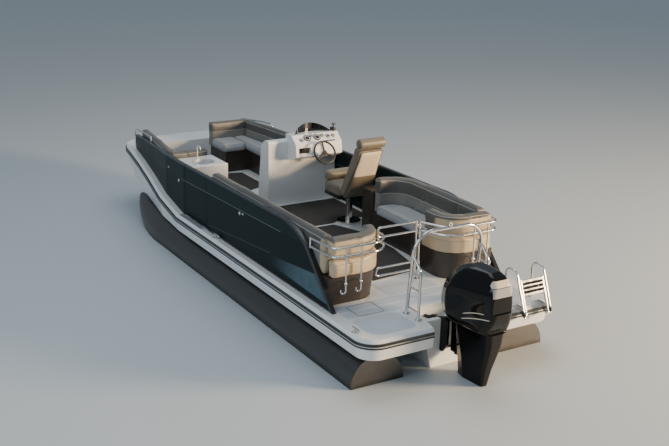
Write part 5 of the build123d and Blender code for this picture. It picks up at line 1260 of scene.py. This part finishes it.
@dataclass
class Helm:
    """The console, its dials and switches, the screen, wheel and chair."""

    break_low: tuple[float, float] = (4.400, 0.905)
    break_top: tuple[float, float] = (4.530, 1.015)
    port: float = 0.330
    starboard: float = 1.070
    # shares of a bezel's radius: the outer end of its marks, its needle's tip and its light ring
    mark_reach: float = 0.58
    needle_reach: float = 0.5
    ring_reach: float = 0.68
    # where the needles rest and the marks start, in degrees
    zero: float = 225.0
    # the first switch's place across, their pitch, number, half width and ends up the slope
    switch_x: float = 0.07
    switch_pitch: float = 0.024
    switch_count: int = 9
    switch_half: float = 0.008
    switch_ends: tuple[float, float] = (0.008, 0.030)
    # sides, bottom and top over the deck, and y of the dark panel under the dash
    player: tuple[float, float, float, float] = (0.39, 0.55, 0.775, 0.850)
    player_y: float = 4.419
    cream_share: float = 0.42
    # across from the dash's middle, up the slope, bezel radius
    dials: tuple[tuple[float, float, float], ...] = (
        (-0.250, 0.075, 0.030), (-0.150, 0.100, 0.054), (-0.071, 0.138, 0.025), (0.008, 0.100, 0.054),
        (0.100, 0.122, 0.028), (0.185, 0.100, 0.034), (0.270, 0.100, 0.028))

    def slope(self) -> Matrix:
        """The dash's sloping face as a frame: X across, Y up the slope, Z out of it."""
        (y0, z0), (y1, z1) = self.break_low, self.break_top
        run = math.hypot(y1 - y0, z1 - z0)
        up = Vector((0, (y1 - y0) / run, (z1 - z0) / run))
        out = Vector((1, 0, 0)).cross(up)
        made = Matrix((Vector((1, 0, 0)), up, out)).transposed().to_4x4()
        made.translation = Vector(((self.port + self.starboard) / 2, y0, z0 + DECK))
        return made

    def faces(self) -> None:
        """Dial faces with their marks and needles."""
        place = self.slope()
        faces, marks, needles, rims = [], [], [], []
        start = math.radians(self.zero)
        for across, up, radius in self.dials:
            faces.append(ring_outline(across, up, radius - 0.0075, 28))
            count = 24 if radius > 0.04 else 12
            for index in range(count * 3 // 4 + 1):
                angle = start - 2 * math.pi * index / count
                reach = radius * self.mark_reach
                deep = 0.006 if index % 3 == 0 else 0.0035
                ahead = Vector((math.cos(angle), math.sin(angle)))
                wide = Vector((-ahead.y, ahead.x)) * 0.0007
                inner, outer = ahead * (reach - deep), ahead * reach
                marks.append([(across + p.x, up + p.y)
                              for p in (inner - wide, outer - wide, outer + wide, inner + wide)])
            tip = Vector((math.cos(start), math.sin(start))) * radius * self.needle_reach
            wide = Vector((-tip.y, tip.x)).normalized() * 0.0012
            needles.append([(across + p.x, up + p.y) for p in (-wide, tip, wide)])
            ring = ring_outline(across, up, radius * self.ring_reach, 32)
            rims.append([place @ Vector((x, y, 0.0075)) for x, y in ring])
        finish_piece(slab("dial_faces", faces, 0.004, 0.0055, place), "hull", DIAL_BLACK, False)
        finish_piece(slab("dial_marks", marks, 0.0055, 0.0060, place), "hull", DIAL_WHITE, False)
        finish_piece(slab("dial_needles", needles, 0.0065, 0.0072, place), "hull", DIAL_RED, False)
        finish_piece(tubes("dial_rims", rims, 0.0034, 8, True), "hull", DIAL_WHITE)

    def switches(self) -> None:
        """A row of rocker switches and a dark lower panel."""
        place = self.slope()
        middles = [self.switch_x + self.switch_pitch * i for i in range(self.switch_count)]
        half = self.switch_half
        keys = [plate(x - half, x + half, *self.switch_ends, 0.003, 3) for x in middles]
        piece = slab("rocker_switches", keys, 0.0002, 0.006, place)
        add_bevel(piece, 0.0015, 2)
        finish_piece(piece, "hull", BLACK_TRIM, False)
        upright = Matrix(((1, 0, 0, 0), (0, 0, -1, self.player_y), (0, 1, 0, DECK), (0, 0, 0, 1)))
        lower = slab("player_panel", [plate(*self.player, 0.01)], 0.0, 0.006, upright)
        finish_piece(lower, "hull", DIAL_BLACK, False)

    def build(self) -> None:
        """Dresses the helm."""
        dress(WHITE_PLAIN, "helm_console")
        dress(BLACK_TRIM, "dash_gauges", "throttle")
        dress(Acrylic("smoked_acrylic"), "windshield")
        dress(Moulded("wheel_grip", (0.015, 0.014, 0.013), 0.45, 600.0), "steering_wheel")
        dress(STAINLESS, "seat_pedestal")
        dress(BLACK_TRIM, "helm_seat_shell")
        self.faces()
        self.switches()
        low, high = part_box("helm_back_panel")
        cream = Vinyl("vinyl_cream", CHAIR, CREAM, low[2] + self.cream_share * (high[2] - low[2]))
        Cushion("helm_back_panel", cream, "vinyl_tan", "helm_seat", voxel=0.009, shrink=0.003,
                puff=0.007, piping=()).build()
        Cushion("helm_seat_cushions", VINYL_CHAIR, "vinyl_taupe", "helm_seat", voxel=0.010, shrink=0.006,
                puff=0.012, piping=()).build()


@dataclass
class TubeWork:
    """The stainless rails, arch and ladder, with their screws and treads."""

    arch_x: float = 0.45
    arch_y: tuple[float, float] = (0.500, 0.280)
    # the screws' distance from a foot's middle, and the plate's thickness
    screw_reach: float = 0.031
    foot_thick: float = 0.008
    ladder_x: tuple[float, float] = (0.735, 1.045)
    hoop_x: tuple[float, float] = (0.701, 1.079)
    pivot_y: float = -0.100
    pivot_z: float = DECK - 0.060
    lean: float = 21.5
    length: float = 0.410
    steps: int = 4
    pitch: float = 0.046
    # a tread's gap to the rails, its height and its two faces
    tread_gap: float = 0.017
    tread_height: float = 0.032
    tread_faces: tuple[float, float] = (-0.0165, 0.0225)
    # heights of a boot's rings over the hoop's foot
    boot_rings: tuple[float, ...] = (0.012, 0.030, 0.050, 0.070)

    def screws(self) -> None:
        """Screws in the arch's foot plates."""
        spots = []
        for x, y in ((side * self.arch_x, y) for y in self.arch_y for side in (-1, 1)):
            for turn in range(4):
                angle = math.pi / 4 + turn * math.pi / 2
                spots.append((x + self.screw_reach * math.cos(angle), y + self.screw_reach * math.sin(angle),
                              DECK + self.foot_thick))
        base = bpy.data.meshes.new("screw_places")
        base.from_pydata(spots, [], [])
        finish_piece(screw_tree().grow("arch_screws", base), "hull", STAINLESS)

    def leaning(self) -> Matrix:
        """The stowed ladder's frame: X across, Z along its rails."""
        return Matrix.Translation((0, self.pivot_y, self.pivot_z)) @ Matrix.Rotation(
            math.radians(-self.lean), 4, "X")

    def treads(self) -> None:
        """Black rubber treads that fill the spaces between the ladder's steps."""
        place = self.leaning()
        points, faces = [], []
        x0, x1 = self.ladder_x[0] + self.tread_gap, self.ladder_x[1] - self.tread_gap
        for index in range(1, self.steps):
            low = self.length - 0.010 - index * self.pitch - 0.005
            high = low + self.tread_height
            first = len(points)
            for y in self.tread_faces:
                points += [place @ Vector((x, y, z))
                           for x, z in ((x0, low), (x1, low), (x1, high), (x0, high))]
            faces += [tuple(range(first, first + 4)), tuple(range(first + 4, first + 8))]
            faces += [(first + i, first + (i + 1) % 4, first + 4 + (i + 1) % 4, first + 4 + i)
                      for i in range(4)]
        piece = new_object("ladder_treads", mesh_of("ladder_treads", points, faces))
        rubber = Plain("tread_rubber", (0.003, 0.003, 0.003), 0.9)
        finish_piece(piece, "ladder", rubber, False)

    def boots(self) -> None:
        """Black boots on the lower ends of the ladder's hoops."""
        place = Matrix.Translation((0, -0.010, 0)) @ self.leaning()
        paths = [[place @ Vector((x, 0, z)) for z in self.boot_rings] for x in self.hoop_x]
        finish_piece(tubes("hoop_boots", paths, 0.0150, 20), "hull", BLACK_SOFT)

    def build(self) -> None:
        """Dresses the tube work."""
        dress(STAINLESS, "aft_rail_port", "aft_rail_starboard", "aft_gate", "tow_arch", "bow_rails",
              "ladder_mount", "boarding_ladder")
        self.screws()
        self.treads()
        self.boots()


@dataclass
class Motor:
    """The outboard motor on its bracket, and its hoses."""

    hose: float = 0.040
    small: float = 0.022

    def routes(self) -> dict[str, tuple[float, list[Point]]]:
        """The two hoses' thickness and points."""
        well, end = 0.560, 0.388
        big = [(-0.150, well, -0.105), (-0.150, well - 0.058, -0.105), (-0.105, well - 0.108, -0.070),
               (-0.042, well - 0.120, -0.112), (-0.042, end, -0.112)]
        small = [(0.120, well, -0.100), (0.120, well - 0.055, -0.100), (0.088, well - 0.105, -0.066),
                 (0.042, well - 0.120, -0.108), (0.042, end, -0.108)]
        return {"rigging_hose": (self.hose, big), "fuel_hose": (self.small, small)}

    def hoses(self) -> None:
        """The hoses as smooth curves along their routes."""
        made = []
        for name, (thick, route) in self.routes().items():
            curve = bpy.data.curves.new(name, "CURVE")
            curve.dimensions = "3D"
            curve.bevel_depth = thick / 2
            curve.bevel_resolution = 4
            curve.resolution_u = 12
            curve.use_fill_caps = True
            spline = curve.splines.new("NURBS")
            spline.points.add(len(route) - 1)
            for point, (x, y, z) in zip(spline.points, route):
                point.co = (x, y, z + DECK, 1.0)
            spline.order_u = 3
            spline.use_endpoint_u = True
            piece = new_object(name, curve)
            curve.materials.append(BLACK_SOFT.material())
            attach(piece, "hull")
            made.append((piece, thick, route))
        for piece, _, _ in made:
            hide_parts("rigging_hoses")

    def build(self) -> None:
        """Dresses the motor."""
        dress(MotorPaint("cowl_paint", decorated=True), "motor_cowl")
        dress(MotorPaint("motor_paint"), "motor_leg", "motor_swivel", "motor_clamp")
        dress(Plain("cast_block", (0.25, 0.25, 0.26), 0.5, 0.8), "powerhead")
        dress(Stainless("propeller_steel", (0.55, 0.55, 0.54)), "propeller")
        self.hoses()


@dataclass(frozen=True)
class Lamp:
    """A soft square lamp that faces the boat."""

    name: str
    place: Point
    size: float
    power: float
    color: Color
    aim: Point = (0.0, 3.0, 0.8)

    def build(self) -> None:
        """Hangs the lamp."""
        data = bpy.data.lights.new(self.name, "AREA")
        data.size = self.size
        data.energy = self.power
        data.color = self.color
        made = bpy.data.objects.new(self.name, data)
        bpy.context.scene.collection.objects.link(made)
        turned = (Vector(self.aim) - Vector(self.place)).to_track_quat("-Z", "Y").to_matrix()
        made.matrix_world = Matrix.Translation(self.place) @ turned.to_4x4()


@dataclass
class Studio:
    """The camera at the photograph's angle, a pale floor and soft light."""

    eye: Point = (-6.739, -8.295, 5.137)
    right: Point = (0.85789188, -0.51332804, 0.02271221)
    down: Point = (-0.14077156, -0.27731333, -0.9504108)
    ahead: Point = (0.49417091, 0.81215247, -0.31016684)
    lens: float = 57.91
    sensor: float = 36.0
    reach: float = 60.0
    sky: Color = (0.60, 0.72, 0.84)
    sky_power: float = 0.42
    lamps: tuple[Lamp, ...] = (
        Lamp("key", (11.8, -8.6, 4.2), 3.5, 6000.0, (1.0, 0.74, 0.46)),
        Lamp("fill", (-12.0, -2.0, 7.0), 8.0, 650.0, (0.76, 0.88, 1.0)),
        Lamp("top", (1.0, 5.0, 11.0), 8.0, 480.0, (0.95, 0.98, 1.0)))

    def camera(self) -> None:
        """Sets the camera."""
        data = bpy.data.cameras.new("camera")
        data.lens = self.lens
        data.sensor_width = self.sensor
        data.clip_end = 200.0
        made = bpy.data.objects.new("camera", data)
        bpy.context.scene.collection.objects.link(made)
        turned = Matrix((Vector(self.right), -Vector(self.down), -Vector(self.ahead))).transposed()
        made.matrix_world = Matrix.Translation(self.eye) @ turned.to_4x4()
        bpy.context.scene.camera = made

    def floor(self) -> None:
        """Sets the floor at the waterline."""
        corners = [(x * self.reach, y * self.reach, 0) for x, y in ((-1, -1), (1, -1), (1, 1), (-1, 1))]
        mesh = mesh_of("floor", corners, [(0, 1, 2, 3)])
        piece = new_object("floor", mesh)
        made = Surface("pale_floor", Roughness=0.5, Base_Color=(0.52, 0.56, 0.58, 1.0))
        piece.data.materials.append(made.material)

    def build(self) -> None:
        """Sets up the studio."""
        self.camera()
        self.floor()
        world = bpy.data.worlds.new("studio")
        world.use_nodes = True
        background = world.node_tree.nodes["Background"]
        background.inputs[0].default_value = (*self.sky, 1.0)
        background.inputs[1].default_value = self.sky_power
        bpy.context.scene.world = world
        for lamp in self.lamps:
            lamp.build()


def main() -> None:
    """Builds the studio and every sub-assembly in order."""
    logging.basicConfig(level=logging.INFO, format="%(name)s: %(message)s")
    Studio().build()
    for part in (Motor(), Moulding(), SidePanels(), Lounges(), Helm(), TubeWork()):
        LOG.info("building %s", type(part).__name__)
        part.build()
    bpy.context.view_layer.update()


if __name__ == "__main__":
    main()
